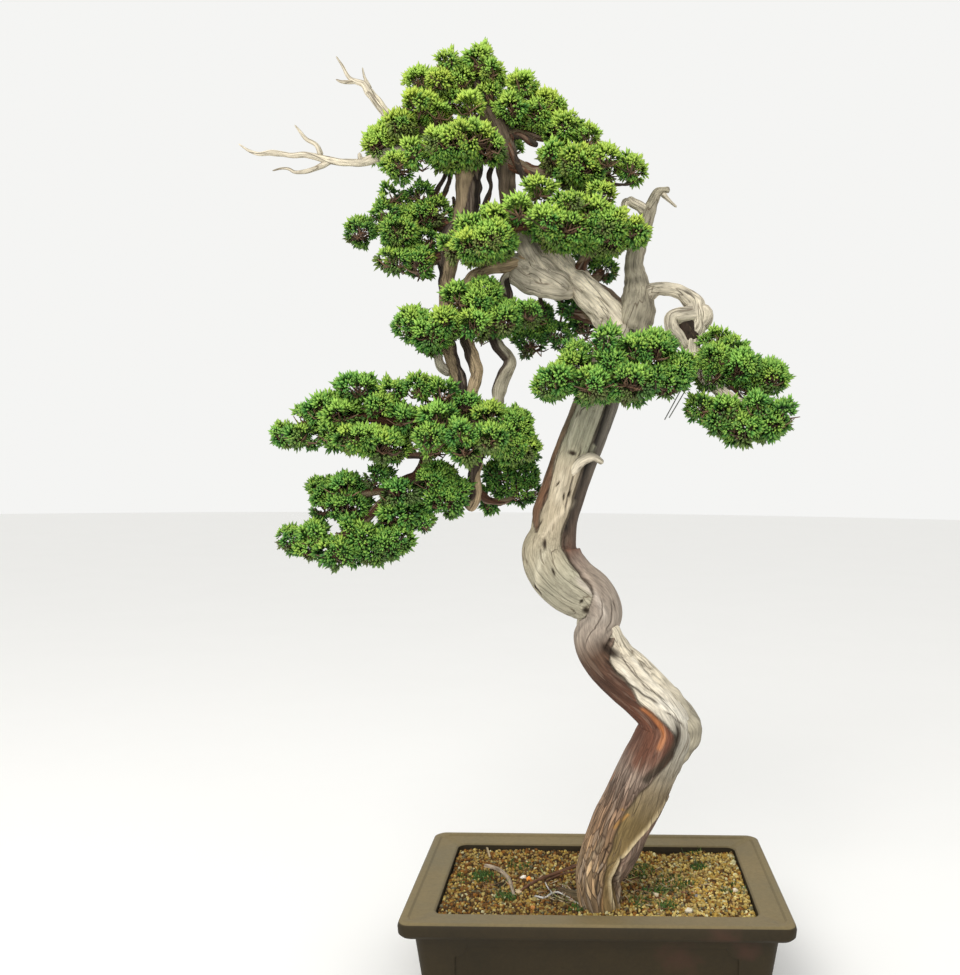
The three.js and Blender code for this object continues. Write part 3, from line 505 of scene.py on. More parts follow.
TAN_LIMBS = [
    [(99, -27, 696, 9), (86, -34, 694, 8.5), (71, -37, 690, 7), (71, -38, 681, 6.5),
     (79, -39, 670, 6), (87, -39, 659, 5)],
    [(-30, 0, 725, 10), (-56, -10, 724, 10), (-79, -12, 729, 9), (-98, -10, 742, 8)],
    [(-89, 0, 786, 9), (-79, -8, 765, 10), (-69, -10, 748, 10), (-54, -8, 732, 11)],
    [(-165, -10, 672, 7), (-172, -14, 655, 4.5), (-169, -16, 642, 5),
     (-158, -18, 632, 4)],
    [(-80, 6, 790, 10), (-66, -20, 792, 8), (-57, -46, 792, 7), (-44, -62, 790, 4)],
    [(-104, -8, 757, 7), (-86, -6, 749, 11), (-69, -6, 742, 16), (-51, -4, 732, 15),
     (-33, -2, 721, 14)],
]
LIVE_LIMBS = [
    [(-27, 4, 742, 7), (-21, 0, 755, 5), (-14, -2, 765, 4.5), (-4, -2, 769, 4),
     (9, 0, 772, 1.5)],
    [(-106, -8, 878, 7), (-96, -6, 889, 4), (-82, -5, 888, 3.2), (-64, -4, 884, 3),
     (-47, -6, 893, 2)],
    [(-103, -4, 860, 8), (-86, -10, 851, 6), (-62, -16, 844, 5), (-25, -20, 844, 4),
     (8, -20, 845, 2)],
    [(-5, -16, 612, 12), (2, -50, 620, 9), (11, -84, 626, 7), (24, -104, 632, 4)],
    [(-60, -38, 791, 6), (-96, -44, 777, 4.5), (-128, -44, 769, 3)],
    [(-158, -12, 787, 9), (-182, -14, 792, 5), (-207, -18, 798, 4), (-228, -20, 790, 2.5)],
    [(-166, -9, 758, 7), (-182, -12, 751, 4.5), (-207, -18, 749, 3)],
    [(-20, 2, 727, 8), (-9, 16, 739, 5), (-1, 28, 752, 3)],
    [(8, 0, 696, 9), (-19, 20, 701, 6), (-41, 36, 707, 3.5)],
    [(-136, -32, 603, 5), (-165, -44, 585, 6), (-199, -52, 581, 5), (-239, -54, 584, 4),
     (-280, -50, 582, 2.5)],
    [(-165, -44, 586, 6), (-176, -38, 558, 5), (-187, -30, 530, 5.5), (-206, -36, 518, 5),
     (-234, -40, 509, 4), (-261, -44, 503, 2.5)],
    [(-206, -36, 518, 5), (-228, -44, 493, 4), (-246, -50, 473, 3.5), (-268, -54, 459, 2.5)],
    [(-130, -20, 510, 5), (-117, -8, 501, 3.5), (-97, 4, 503, 3), (-84, 6, 521, 2)],
    [(96, -43, 642, 6), (118, -50, 642, 5), (142, -54, 640, 4), (160, -55, 633, 2.5)],
    [(-108, -8, 888, 8), (-112, 20, 895, 6), (-122, 48, 900, 5), (-146, 74, 900, 3)],
    [(-150, -20, 628, 6), (-160, 8, 606, 5), (-166, 38, 592, 4.5), (-190, 62, 584, 3)],
]
ROOTS = [
    [(6, -47, 101, 9), (-16, -34, 95, 5), (-36, -10, 90, 4), (-52, 14, 84, 3)],
    [(6, -51, 95, 8), (-18, -54, 89, 4.5), (-36, -50, 86, 3.5), (-52, -40, 82, 2.5)],
    [(6, -47, 98, 9), (28, -34, 91, 5), (42, -10, 87, 4), (50, 8, 83, 3)],
]

# Dark twisted twigs that show among the foliage: [u, v in the photograph, y, radius].
DARK_TWIGS = [
    [(491, 155, -8, 2.6), (492, 166, -10, 2.2), (489, 176, -14, 2.6), (491, 187, -14, 2.0),
     (487, 198, -15, 2.6), (482, 209, -18, 2.0), (478, 216, -22, 1.4)],
    [(446, 163, -12, 1.8), (446, 173, -12, 2.0), (441, 183, -14, 2.2), (436, 192, -16, 2.4),
     (430, 203, -18, 2.2), (421, 212, -18, 1.4)],
    [(450, 168, -14, 1.6), (449, 182, -15, 2.2), (445, 192, -16, 2.4), (437, 204, -18, 2.2),
     (430, 216, -18, 1.4)],
    [(453, 196, -8, 1.6), (455, 208, -8, 2.0), (456, 222, -8, 1.6)],
    [(505, 130, -8, 2.8), (514, 136, -8, 3.2), (521, 136, -10, 3.0), (530, 141, -12, 3.4),
     (538, 146, -14, 2.6)],
    [(508, 118, -8, 1.6), (517, 123, -8, 2.0), (529, 127, -10, 1.6), (540, 131, -12, 1.4)],
    [(512, 150, -10, 2.4), (518, 162, -12, 2.6), (527, 171, -14, 3.0), (539, 178, -18, 2.8),
     (553, 184, -22, 2.4), (568, 187, -24, 1.8)],
    # This one is a dark limb put where the bough's side lies in shadow: painted shade.
    [(504, 140, -12, 3.0), (512, 152, -14, 3.2), (518, 165, -14, 3.6), (524, 178, -14, 3.0),
     (530, 190, -12, 2.0)],
    [(601, 178, -20, 1.4), (614, 184, -22, 1.6), (628, 184, -22, 1.4), (640, 178, -22, 1.0)],
    [(497, 290, -20, 2.2), (503, 296, -18, 2.6), (509, 304, -10, 2.0), (516, 312, 6, 1.6),
     (528, 318, 30, 1.4)],
    [(540, 292, 20, 1.8), (541, 304, 24, 2.2), (545, 314, 30, 2.0), (546, 328, 38, 1.4)],
    [(560, 296, 20, 1.4), (563, 310, 28, 1.6), (560, 322, 36, 1.2)],
    [(466, 296, -14, 3.0), (468, 310, -14, 3.0), (472, 330, -16, 2.4)],
    [(724, 392, -56, 1.6), (731, 388, -60, 2.0), (738, 394, -62, 1.8), (744, 401, -64, 1.2)],
    [(716, 384, -54, 1.4), (726, 397, -62, 1.8), (736, 402, -66, 1.4)],
    [(700, 410, -62, 1.6), (716, 424, -70, 2.2), (735, 434, -74, 2.4), (756, 430, -72, 2.0),
     (778, 424, -68, 1.4)],
    [(405, 456, -48, 2.6), (425, 458, -44, 3.0), (431, 470, -40, 3.2), (420, 480, -38, 3.0),
     (404, 484, -36, 2.4), (392, 486, -34, 1.8)],
]
# Dark lumps in the eye of the knot on the right, and in a knot hole low on the belly: painted
# shadow in the hollows.
HOLLOW_SHADOWS = [
    [(683, 314, -31, 5), (687, 325, -33, 8), (691, 336, -35, 8), (695, 346, -38, 5)],
    [(536, 583, -54.5, 1.5), (538, 586, -55.5, 3.2), (540, 590, -56, 1.5)],
]

CREAM = np.array([0.56, 0.50, 0.37])
PALE = np.array([0.64, 0.57, 0.44])
TAN = np.array([0.36, 0.27, 0.165])
OLIVE = np.array([0.25, 0.18, 0.09])
REDDISH = np.array([0.17, 0.075, 0.04])
DARK_BARK = np.array([0.05, 0.036, 0.027])
CREVICE_SHADE = np.array([0.035, 0.022, 0.014])
BOUGH_BARK = np.array([0.14, 0.10, 0.07])
CROWN_BARK = np.array([0.17, 0.125, 0.085])


def smooth_line(path, step):
    """Even steps along the smooth curve through a path's points, and the length so far."""
    knots = np.array(path, float)
    chord = np.linalg.norm(np.diff(knots[:, :3], axis=0), axis=1)
    along = np.concatenate([[0.0], np.cumsum(chord)])
    length = np.linspace(0.0, along[-1], max(int(along[-1] / step), 6))
    slope = np.gradient(knots, along, axis=0)
    k = np.clip(np.searchsorted(along, length, side="right") - 1, 0, len(chord) - 1)
    h = chord[k][:, None]
    t = (length - along[k])[:, None] / h
    line = (knots[k] * (1 + 2 * t) * (1 - t) ** 2 + slope[k] * h * t * (1 - t) ** 2
            + knots[k + 1] * t * t * (3 - 2 * t) + slope[k + 1] * h * t * t * (t - 1))
    return line, length


def directions(centres, ease=0):
    """Tangents, and two directions across the limb, the first of which starts to the front."""
    tangents = unit(np.gradient(centres, axis=0))
    if ease:
        ends = np.pad(tangents, ((ease, ease), (0, 0)), mode="edge")
        window = np.hanning(2 * ease + 1)
        tangents = unit(np.stack([np.convolve(ends[:, c], window, "valid")
                                  for c in range(3)], axis=1))
    fronts = np.empty_like(tangents)
    front = np.array([0.0, -1.0, 0.0])
    for k, tangent in enumerate(tangents):
        front = unit(front - tangent * (front @ tangent))
        fronts[k] = front
    return tangents, fronts, np.cross(tangents, fronts)


def strands(angle, length, seed, twist=0.0, fine=1.0):
    """Rounded strands that wind along a limb: 1 on their backs, -1 in the grooves."""
    rng = np.random.default_rng(seed)
    total = 0.0
    weight = 0.0
    for count, share in ((2, 1.0), (3, 0.9), (5, 0.8), (8, 0.6 * fine), (13, 0.45 * fine),
                         (21, 0.3 * fine)):
        phase, start, swing = rng.uniform(0, 2 * np.pi, 3)
        wave = rng.uniform(70, 180)
        wander = 0.8 * np.sin(2 * np.pi * length / wave + start)
        turned = count * (angle + twist * length) / 2 + phase + wander
        strength = share * (0.65 + 0.35 * np.sin(2 * np.pi * length / (0.6 * wave) + swing))
        total = total + strength * (2 * np.abs(np.sin(turned)) ** 0.7 - 1.15)
        weight += share
    return np.clip(total / weight * 1.6, -1, 1)


def wander(length, seed, wave):
    """A value between -1 and 1 that drifts along a limb."""
    rng = np.random.default_rng(seed)
    return sum(np.sin(2 * np.pi * length / (wave * rng.uniform(0.5, 1.6))
                      + rng.uniform(0, 2 * np.pi)) for _ in range(3)) / 3


def turned_from(angle, other):
    """How far an angle is turned from another, between -pi and pi."""
    return (angle - other + np.pi) % (2 * np.pi) - np.pi


def tube_faces(rows, sides):
    """Faces between rings of points, and fans to the two points that close the ends."""
    total = rows * sides
    k, i = np.meshgrid(np.arange(rows - 1), np.arange(sides), indexing="ij")
    a = k * sides + i
    b = k * sides + (i + 1) % sides
    quads = np.stack([a, b, b + sides, a + sides], axis=-1).reshape(-1, 4)
    i = np.arange(sides)
    j = (i + 1) % sides
    first = np.stack([np.full(sides, total), j, i], axis=-1)
    last = np.stack([np.full(sides, total + 1), total - sides + i, total - sides + j], axis=-1)
    return [quads, first, last]


def with_ends(grid, width):
    """The values of all rings, then those of the first and the last ring's first point."""
    return np.concatenate([grid.reshape(-1, width), grid[0, :1], grid[-1, :1]])


def limb_skin(path, step, sides, dress, twist=0.0, ease=0):
    """A closed limb. dress gives each point's rise, tint, and shares of bark and flakes."""
    line, length = smooth_line(path, step)
    centres, radii = line[:, :3], np.maximum(line[:, 3], 0.4)[:, None]
    tangents, fronts, rights = directions(centres, ease)
    s = length[:, None]
    angle = np.broadcast_to(np.arange(sides) * 2 * np.pi / sides, (len(s), sides))
    rise, tint, bark, flakes = dress(angle, s, radii, line, tangents, rights)
    end = np.minimum(s, length[-1] - s) / np.maximum(radii, 1e-6)
    cap = np.sqrt(np.clip(1 - (1 - np.clip(end, 0, 1)) ** 2, 0.0004, 1))
    r = np.maximum(radii + rise, 0.25 * radii) * cap
    out = (fronts[:, None] * np.cos(angle)[..., None]
           + rights[:, None] * np.sin(angle)[..., None])
    points = centres[:, None] + out * r[..., None]
    turn = angle + twist * s
    grain = np.stack([radii * np.cos(turn), radii * np.sin(turn),
                      np.broadcast_to(s, angle.shape) / 9 + path[0][0]], axis=-1)
    ends = np.array([centres[0], centres[-1]])
    shares = {key: with_ends(np.broadcast_to(value, angle.shape)[..., None], 1).ravel()
              for key, value in (("bark", bark), ("flakes", flakes))}
    return {
        "points": np.concatenate([points.reshape(-1, 3), ends]),
        "faces": tube_faces(len(s), sides),
        "values": {
            "tint": with_ends(np.broadcast_to(tint, points.shape), 3),
            **shares,
            "grain": with_ends(grain, 3),
        },
    }


# ---------- what shows on the trunk, in pixels (u, v) of the photograph ----------

# Strips of bark, each between a left and a right edge. An edge is seen as pixels, and
# hidden behind the trunk as heights with degrees to the right of the front. A strip may
# narrow away on one side, and have painted shade beside its left edge above the height "gloom".
VEIN_TONES = [
    (74, (0.26, 0.17, 0.09)), (130, (0.36, 0.24, 0.13)), (170, (0.28, 0.17, 0.095)),
    (205, (0.20, 0.13, 0.09)), (228, (0.30, 0.22, 0.17)), (246, (0.15, 0.075, 0.05)),
    (262, (0.12, 0.050, 0.030)), (290, (0.12, 0.046, 0.027)), (312, (0.095, 0.042, 0.025)),
    (335, (0.085, 0.042, 0.026)), (350, (0.11, 0.062, 0.038)), (364, (0.27, 0.22, 0.175)),
    (385, (0.32, 0.27, 0.22)), (412, (0.35, 0.28, 0.22)), (432, (0.26, 0.19, 0.15)),
    (448, (0.17, 0.085, 0.055)), (468, (0.10, 0.065, 0.045)), (520, (0.10, 0.075, 0.055)),
    (580, (0.17, 0.15, 0.12)), (690, (0.17, 0.15, 0.12)),
]
STRIPS = [
    {"left": ([(579, 624), (583, 618), (588, 611), (592, 600), (594, 589), (588, 579),
               (580, 567), (568, 551), (565, 535), (570, 519), (576, 497), (583, 478),
               (591, 455), (600, 431), (608, 404)],
              [(74, -160), (200, -158), (300, -150), (345, -130), (366, -105)]),
     "right": ([(600, 905), (604, 880), (609, 850), (617, 822), (629, 800), (642, 782),
                (660, 765), (674, 750), (676, 738), (669, 725), (654, 713), (638, 698),
                (631, 685), (617, 671), (611, 657), (617, 636)],
               [(384, 92), (405, 112), (440, 140), (480, 165), (690, 165)]),
     "span": (74, 690), "narrows": None, "gloom": 462, "tones": VEIN_TONES, "step": 2.0,
     "flakes": [(74, 1.0), (215, 0.9), (245, 0.35), (345, 0.3), (365, 0.12), (690, 0.2)]},
    {"left": ([], [(465, -150), (690, -150)]),
     "right": ([(539, 533), (541, 517), (548, 500), (553, 478), (556, 458), (566, 435),
                (578, 405)], [(640, -40), (690, -40)]),
     "span": (466, 690), "narrows": "left", "gloom": None, "step": 1.2,
     "flakes": [(466, 0.3), (690, 0.3)],
     "tones": [(466, (0.15, 0.09, 0.055)), (500, (0.175, 0.088, 0.048)),
               (545, (0.18, 0.11, 0.065)), (600, (0.20, 0.16, 0.11))]},
    {"left": ([(677, 779), (672, 787), (651, 819), (635, 837), (622, 853), (615, 871),
               (615, 887), (619, 905)], []),
     "right": ([], [(74, 150), (230, 150)]),
     "span": (96, 224), "narrows": "right", "gloom": None, "step": 1.4,
     "flakes": [(74, 0.8), (224, 0.5)],
     "tones": [(96, (0.18, 0.12, 0.07)), (150, (0.22, 0.15, 0.11)),
               (224, (0.13, 0.08, 0.06))]},
]
WOOD_TONES = [
    (74, (0.22, 0.145, 0.06)), (140, (0.22, 0.15, 0.06)), (190, (0.18, 0.125, 0.05)),
    (222, (0.26, 0.20, 0.12)), (246, (0.33, 0.29, 0.22)), (268, (0.42, 0.39, 0.32)),
    (288, (0.56, 0.51, 0.42)), (304, (0.70, 0.63, 0.50)), (350, (0.64, 0.56, 0.43)),
    (395, (0.42, 0.38, 0.28)), (425, (0.40, 0.37, 0.27)), (450, (0.39, 0.34, 0.24)),
    (480, (0.43, 0.36, 0.25)), (530, (0.46, 0.39, 0.28)), (556, (0.36, 0.34, 0.24)),
    (600, (0.50, 0.48, 0.36)), (690, (0.54, 0.48, 0.37)),
]
# Lines along the trunk: pixels, half width and height in millimetres, and a tone.
RIDGES = [
    ([(670, 788), (648, 819), (632, 837), (619, 853), (611, 870), (610, 886), (614, 910)],
     1.7, 3.4, (0.66, 0.54, 0.33)),
    ([(622, 858), (617, 872), (618, 888), (623, 910)], 1.4, 2.6, (0.52, 0.42, 0.30)),
    ([(609, 828), (596, 848), (590, 863), (589, 880), (591, 898), (594, 912)],
     1.5, 2.0, (0.42, 0.31, 0.19)),
    ([(604, 880), (602, 896), (603, 912)], 1.2, 1.6, (0.34, 0.19, 0.08)),
    ([(622, 640), (636, 660), (653, 682), (673, 700)], 3.0, 1.8, (0.72, 0.66, 0.54)),
    ([(618, 660), (636, 684), (660, 703), (684, 722)], 2.4, 1.2, (0.74, 0.68, 0.56)),
    ([(553, 545), (545, 560), (540, 578), (545, 596)], 5.0, 2.4, (0.56, 0.51, 0.38)),
    ([(575, 500), (563, 517), (552, 530), (541, 543)], 4.0, 2.6, (0.60, 0.51, 0.37)),
    ([(567, 470), (562, 490), (560, 510)], 5.0, 1.6, (0.62, 0.54, 0.40)),
    ([(587, 408), (578, 423), (572, 440), (570, 455)], 2.2, 1.6, (0.52, 0.49, 0.37)),
    ([(575, 570), (590, 585), (602, 602), (604, 622)], 3.0, 1.6, (0.52, 0.45, 0.38)),
]
CRACKS = [
    ([(617, 630), (610, 641), (606, 652)], 3.0, 5.0),
    ([(606, 654), (616, 668), (628, 680), (645, 692), (661, 702)], 1.2, 2.4),
    ([(620, 650), (632, 668), (646, 684), (668, 700)], 0.7, 1.2),
    ([(626, 642), (640, 664), (652, 676)], 0.8, 1.6),
    ([(662, 706), (676, 716), (688, 730)], 0.7, 1.2),
    ([(674, 716), (679, 726), (678, 738), (672, 746)], 1.7, 3.2),
    ([(683, 714), (689, 722), (692, 730)], 1.1, 1.8),
    ([(622, 846), (618, 862), (614, 874), (613, 890), (617, 908)], 1.2, 4.0),
    ([(612, 832), (604, 852), (599, 872), (597, 895)], 1.0, 1.6),
    ([(585, 850), (583, 868), (585, 890)], 0.9, 1.6),
    ([(652, 832), (640, 850), (630, 868)], 1.4, 2.6),
    ([(571, 425), (562, 447), (556, 470), (550, 490), (543, 512)], 0.9, 1.6),
    ([(564, 424), (556, 446), (551, 468)], 0.6, 1.0),
    ([(567, 535), (570, 553), (580, 568), (591, 581), (595, 592)], 1.3, 2.4),
    ([(584, 447), (578, 470), (571, 495), (566, 515)], 0.7, 1.2),
    ([(536, 532), (541, 527), (546, 520)], 1.2, 2.0),
    ([(591, 410), (583, 416), (579, 424)], 0.8, 1.0),
    ([(610, 596), (612, 612), (606, 632)], 0.6, 0.9),
    ([(600, 590), (603, 606), (596, 628), (588, 648)], 0.6, 0.9),
]
PAINTS = [
    ([(645, 706), (655, 714), (662, 723), (664, 732), (660, 741)], 2.6, (0.42, 0.15, 0.05)),
    ([(633, 707), (645, 716), (652, 728), (649, 742), (640, 756)], 6.5, (0.13, 0.052, 0.030)),
    # Painted shadow: the dark hollow between the orange vein and the pale slab.
    ([(677, 732), (671, 746), (661, 758), (648, 770)], 4.6, (0.028, 0.022, 0.012)),
    ([(625, 801), (630, 805), (622, 812), (617, 818)], 1.6, (0.42, 0.22, 0.06)),
    ([(612, 771), (613, 779)], 2.0, (0.40, 0.15, 0.05)),
    ([(662, 700), (680, 714), (694, 730), (697, 742)], 5.0, (0.66, 0.62, 0.53)),
    ([(579, 434), (590, 438), (592, 448), (588, 456)], 6.0, (0.36, 0.35, 0.25)),
]
# Pits: pixel, half length and half width in millimetres, and degrees of lean.
HOLES = [
    (539, 587, 4.5, 2.8, 30), (548, 544, 5.0, 1.8, -20), (556, 568, 4.0, 1.2, 15),
    (572, 496, 4.0, 1.2, 0), (574, 457, 2.4, 4.6, 0), (612, 649, 12.0, 5.4, -25),
    (587, 607, 5.0, 3.6, 30), (566, 500, 4.0, 1.0, -15), (614, 602, 3.0, 1.0, 10),
    (574, 607, 2.2, 1.0, 60), (560, 487, 3.2, 1.0, 20), (582, 596, 1.6, 2.8, 0),
    (591, 790, 3.0, 1.4, 0), (600, 800, 2.4, 2.2, 0), (586, 868, 2.2, 1.4, 0),
]
TWIST = [(74, 0.004), (340, 0.006), (400, 0.010), (430, 0.010), (500, 0.003), (690, 0.002)]
PIT_DEPTH = 3.5
FOOT_TOP = 118  # height above which the trunk's foot no longer spreads
STRAND_HEIGHT = 0.05  # of the trunk's strands, for its radius
STRIP_TAPER = 45  # length over which a strip of bark narrows away, in millimetres
EDGE_WANDER = 0.05  # radians by which a strip's edges stray
# GLOOM_WIDTH and GLOOM_DEPTH set the painted shade beside a strip's left edge.
GLOOM_WIDTH = 7  # shade beside a strip's left edge, in millimetres
GLOOM_DEPTH = 0.94
CRACK_WANDER = 0.025
CRACK_FADE = 6  # length over which a line along the trunk fades out at its ends
RIDGE_FADE = 10
TRUNK_STEP = 1.25
TRUNK_SIDES = 156
TRUNK_GRAIN_TWIST = 0.003  # radians a millimetre
TRUNK_EASE = 9  # rings over which the trunk's bends are eased


class TrunkMap:
    """Where pixels of the photograph lie on the trunk, as its length and angle."""

    def __init__(self, line, length, rights, tangents):
        self.centres, self.radii, self.length = line[:, :3], line[:, 3], length
        self.tangents, self.rights = tangents, rights

    def place(self, u, v):
        across, down = sight(u, v)
        depth = self.centres[:, 1] - EYE[1]
        off = np.stack([EYE[0] + across * depth, self.centres[:, 1],
                        EYE[2] - down * depth], axis=1) - self.centres
        along = np.abs(np.einsum("ij,ij->i", off, self.tangents))
        side = np.einsum("ij,ij->i", off, self.rights)
        k = int(np.argmin(along + 0.2 * np.abs(side)))
        return self.length[k], math.asin(max(-0.97, min(0.97, side[k] / self.radii[k])))

    def edge(self, seen, hidden):
        """The angle of a line at each step along the trunk, and the lengths it spans."""
        spots = [self.place(u, v) for u, v in seen]
        spots += [(float(np.interp(z, self.centres[:, 2], self.length)), math.radians(turn))
                  for z, turn in hidden]
        at, angle = zip(*sorted(spots))
        return np.interp(self.length, at, angle), at[0], at[-1]


def tones(heights, table):
    at = [z for z, _ in table]
    return np.stack([np.interp(heights, at, [tone[c] for _, tone in table])
                     for c in range(3)], axis=-1)


def faded(at, first, last, length):
    return np.clip((at - first) / length, 0, 1) * np.clip((last - at) / length, 0, 1)


class TrunkSkin:
    """The trunk's surface while it is dressed, with a value for each point of each ring."""

    def __init__(self, angle, s, radii, line, tangents, rights):
        self.angle, self.s, self.radii = angle, s, radii
        self.at, self.z = s[:, 0], line[:, 2]
        self.trunk = TrunkMap(line, self.at, rights, tangents)
        twist = np.interp(self.z, *zip(*TWIST))
        turn = angle + np.cumsum(twist * np.gradient(self.at))[:, None]
        self.strand = strands(turn, s, 5)
        self.rise = STRAND_HEIGHT * radii * self.strand
        self.tint = tones(self.z, WOOD_TONES)[:, None] * (0.88 + 0.22 * self.strand)[..., None]
        # dark holds the share of painted shade in cracks, pits and the grooves along the strips'
        # edges.
        self.bark, self.flakes, self.dark = (np.zeros_like(angle) for _ in range(3))

    def off_line(self, middle):
        """How far each point lies to the right of a line, in millimetres."""
        return turned_from(self.angle, middle[:, None]) * self.radii

    def strip_edges(self, n, strip):
        """The strip's two edges, drawn together where it runs out, and how far it does."""
        at = self.at
        low, _, _ = self.trunk.edge(*strip["left"])
        high, _, _ = self.trunk.edge(*strip["right"])
        low = low + EDGE_WANDER * wander(at, 31 + n, 40)
        high = high + EDGE_WANDER * wander(at, 41 + n, 40)
        first, last = (float(np.interp(h, self.z, at)) for h in strip["span"])
        taper = np.ones_like(at)
        if first > 0:
            taper = np.clip((at - first) / STRIP_TAPER, 0, 1)
        if last < at[-1]:
            taper = taper * np.clip((last - at) / STRIP_TAPER, 0, 1)
        if strip["narrows"] == "left":
            low = high + (low - high) * taper
        elif strip["narrows"] == "right":
            high = low + (high - low) * taper
        return low, high, taper[:, None] > 0

    def lay_strip(self, n, strip):
        """Bark that stands a little above the wood, with a groove along its edges."""
        low, high, there = self.strip_edges(n, strip)
        middle, half = (low + high)[:, None] / 2, (high - low)[:, None] / 2
        inside = (half - np.abs(turned_from(self.angle, middle))) * self.radii
        share = np.clip(inside / 1.2 + 0.5, 0, 1) * there
        rough = strands(self.angle - 0.85 * middle, self.s * 1.5, 51 + n, fine=2.4)
        flaky = np.interp(self.z, *zip(*strip["flakes"]))[:, None]
        lift = (strip["step"] * np.sqrt(np.clip(inside / 5, 0, 1))
                + 0.035 * self.radii * rough)
        groove = np.exp(-((inside + 0.6) / 1.1) ** 2) * there
        self.rise = self.rise * (1 - share) + share * lift - 1.5 * groove
        coat = tones(self.z, strip["tones"])[:, None] * (0.9 + 0.35 * rough)[..., None]
        # Painted shade beside the strip's left edge.
        if strip["gloom"]:
            edge = np.clip(1 - (self.off_line(low) - 1) / GLOOM_WIDTH, 0, 1)
            gloom = edge * share * np.clip((self.z - strip["gloom"]) / 12, 0, 1)[:, None]
            coat = coat * (1 - GLOOM_DEPTH * gloom)[..., None]
        self.tint = self.tint + (coat - self.tint) * share[..., None]
        self.bark = np.maximum(self.bark, share)
        self.flakes = np.maximum(self.flakes, share * flaky)
        self.dark = np.maximum(self.dark, 0.8 * groove)

    def paint(self, spots, width, tone):
        """A daub of colour along a line."""
        middle, first, last = self.trunk.edge(spots, [])
        beyond = np.maximum(np.maximum(first - self.s, self.s - last), 0)
        daub = np.exp(-(self.off_line(middle) / width) ** 4 - (beyond / width) ** 2)
        tone = np.array(tone) * (0.95 + 0.2 * self.strand)[..., None]
        self.tint = self.tint + (tone - self.tint) * (0.85 * daub)[..., None]

    def raise_ridge(self, spots, width, height, tone):
        middle, first, last = self.trunk.edge(spots, [])
        bump = np.exp(-(self.off_line(middle) / width) ** 2)
        bump = bump * faded(self.at, first, last, RIDGE_FADE)[:, None]
        self.rise = self.rise + height * bump
        self.tint = self.tint + (np.array(tone) - self.tint) * (0.8 * bump)[..., None]

    def cut_crack(self, n, spots, width, depth):
        middle, first, last = self.trunk.edge(spots, [])
        middle = middle + CRACK_WANDER * wander(self.at, 61 + n, 14)
        cut = np.exp(-(self.off_line(middle) / width) ** 2)
        cut = cut * faded(self.at, first, last, CRACK_FADE)[:, None]
        self.rise = self.rise - depth * cut
        self.dark = np.maximum(self.dark, 0.95 * cut)

    def sink_pit(self, u, v, long, wide, lean):
        where, middle = self.trunk.place(u, v)
        along, across = self.s - where, turned_from(self.angle, middle) * self.radii
        lean = math.radians(lean)
        a = (along * math.cos(lean) + across * math.sin(lean)) / long
        b = (across * math.cos(lean) - along * math.sin(lean)) / wide
        pit = np.exp(-(a * a + b * b) ** 2)
        self.rise = self.rise - PIT_DEPTH * pit
        self.dark = np.maximum(self.dark, pit)


def dress_trunk(*surface):
    """The trunk's rise, tint, and shares of bark and flakes."""
    skin = TrunkSkin(*surface)
    for n, strip in enumerate(STRIPS):
        skin.lay_strip(n, strip)
    for daub in PAINTS:
        skin.paint(*daub)
    for ridge in RIDGES:
        skin.raise_ridge(*ridge)
    for n, crack in enumerate(CRACKS):
        skin.cut_crack(n, *crack)
    for pit in HOLES:
        skin.sink_pit(*pit)
    # Painted shade: cracks, pits and grooves turn towards the crevice colour.
    tint = skin.tint + (CREVICE_SHADE - skin.tint) * skin.dark[..., None]
    foot = np.clip((FOOT_TOP - skin.z) / 30, 0, 1)[:, None]
    rise = skin.rise + 2.5 * foot * strands(skin.angle, skin.s, 77, fine=0.4)
    return rise, tint, skin.bark, skin.flakes


def dress_limb(seed, tone, flute=0.1, vein=None, vein_tone=DARK_BARK, twist=0.004,
               flaky=0.0, stain=0.25, end_tone=None, change=(0.4, 0.7)):
    """Deadwood strands, with a live strip that winds round where vein gives its turns.

    The tone turns into the end tone between two shares of the length.
    """
    end_tone = tone if end_tone is None else end_tone

    def dress(angle, s, radii, line, *_):
        strand = strands(angle, s, seed, twist)
        fine = strands(angle, 1.7 * s, seed + 21, twist, fine=2.5)
        rise = radii * (flute * strand + 0.3 * flute * fine)
        lumps = wander(s, seed + 3, 26) * np.cos(angle + seed) * 0.12 * radii
        lumps = lumps + 0.07 * radii * wander(s, seed + 4, 18)
        patch = wander(s, seed + 8, 22) * np.sin(angle + seed + s / 25)
        part = np.clip((s / s[-1] - change[0]) / (change[1] - change[0]), 0, 1)[..., None]
        tint = tone + (end_tone - tone) * part
        tint = tint * (0.80 + 0.26 * strand + 0.14 * fine + stain * patch)[..., None]
        bark = np.zeros_like(angle)
        if vein:
            start, turns, half = vein
            middle = math.radians(start) + 2 * np.pi * turns * s / s[-1]
            middle = middle + 0.5 * wander(s, seed + 5, 60)
            inside = (math.radians(half) - np.abs(turned_from(angle, middle))) * radii
            bark = np.clip(inside / 0.9 + 0.5, 0, 1)
            rise = rise + 0.16 * radii * np.sqrt(np.clip(inside / 3, 0, 1))
            rise = rise - 0.7 * np.exp(-(inside / 0.7) ** 2)
            live = vein_tone * (0.95 + 0.5 * strands(angle, s, seed + 7, twist))[..., None]
            tint = tint + (live - tint) * bark[..., None]
        # Painted shade in the deep grooves between strands.
        groove = np.clip(-1.6 * strand - 0.35, 0, 1) * 0.6
        seam = np.exp(-(strands(angle, s, seed + 31, twist, fine=2.0) / 0.07) ** 2)
        seam = seam * np.clip(0.5 + wander(s, seed + 32, 30), 0, 1)
        tint = tint * ((1 - groove) * (1 - 0.7 * seam))[..., None]
        rise = rise - 0.07 * radii * seam
        return rise + lumps, np.maximum(tint, 0.004), bark, bark * 0.5 + flaky

    return dress


def path_seen(spots):
    """A limb's path from pixels of the photograph, depths and radii."""
    return [(*seen_at_depth(u, v, y), radius) for u, v, y, radius in spots]


def wood_piece(name, skins):
    points, faces, values = joined(skins)
    make_piece(name, points, faces, WOOD, "wood", ["wood"], **values)


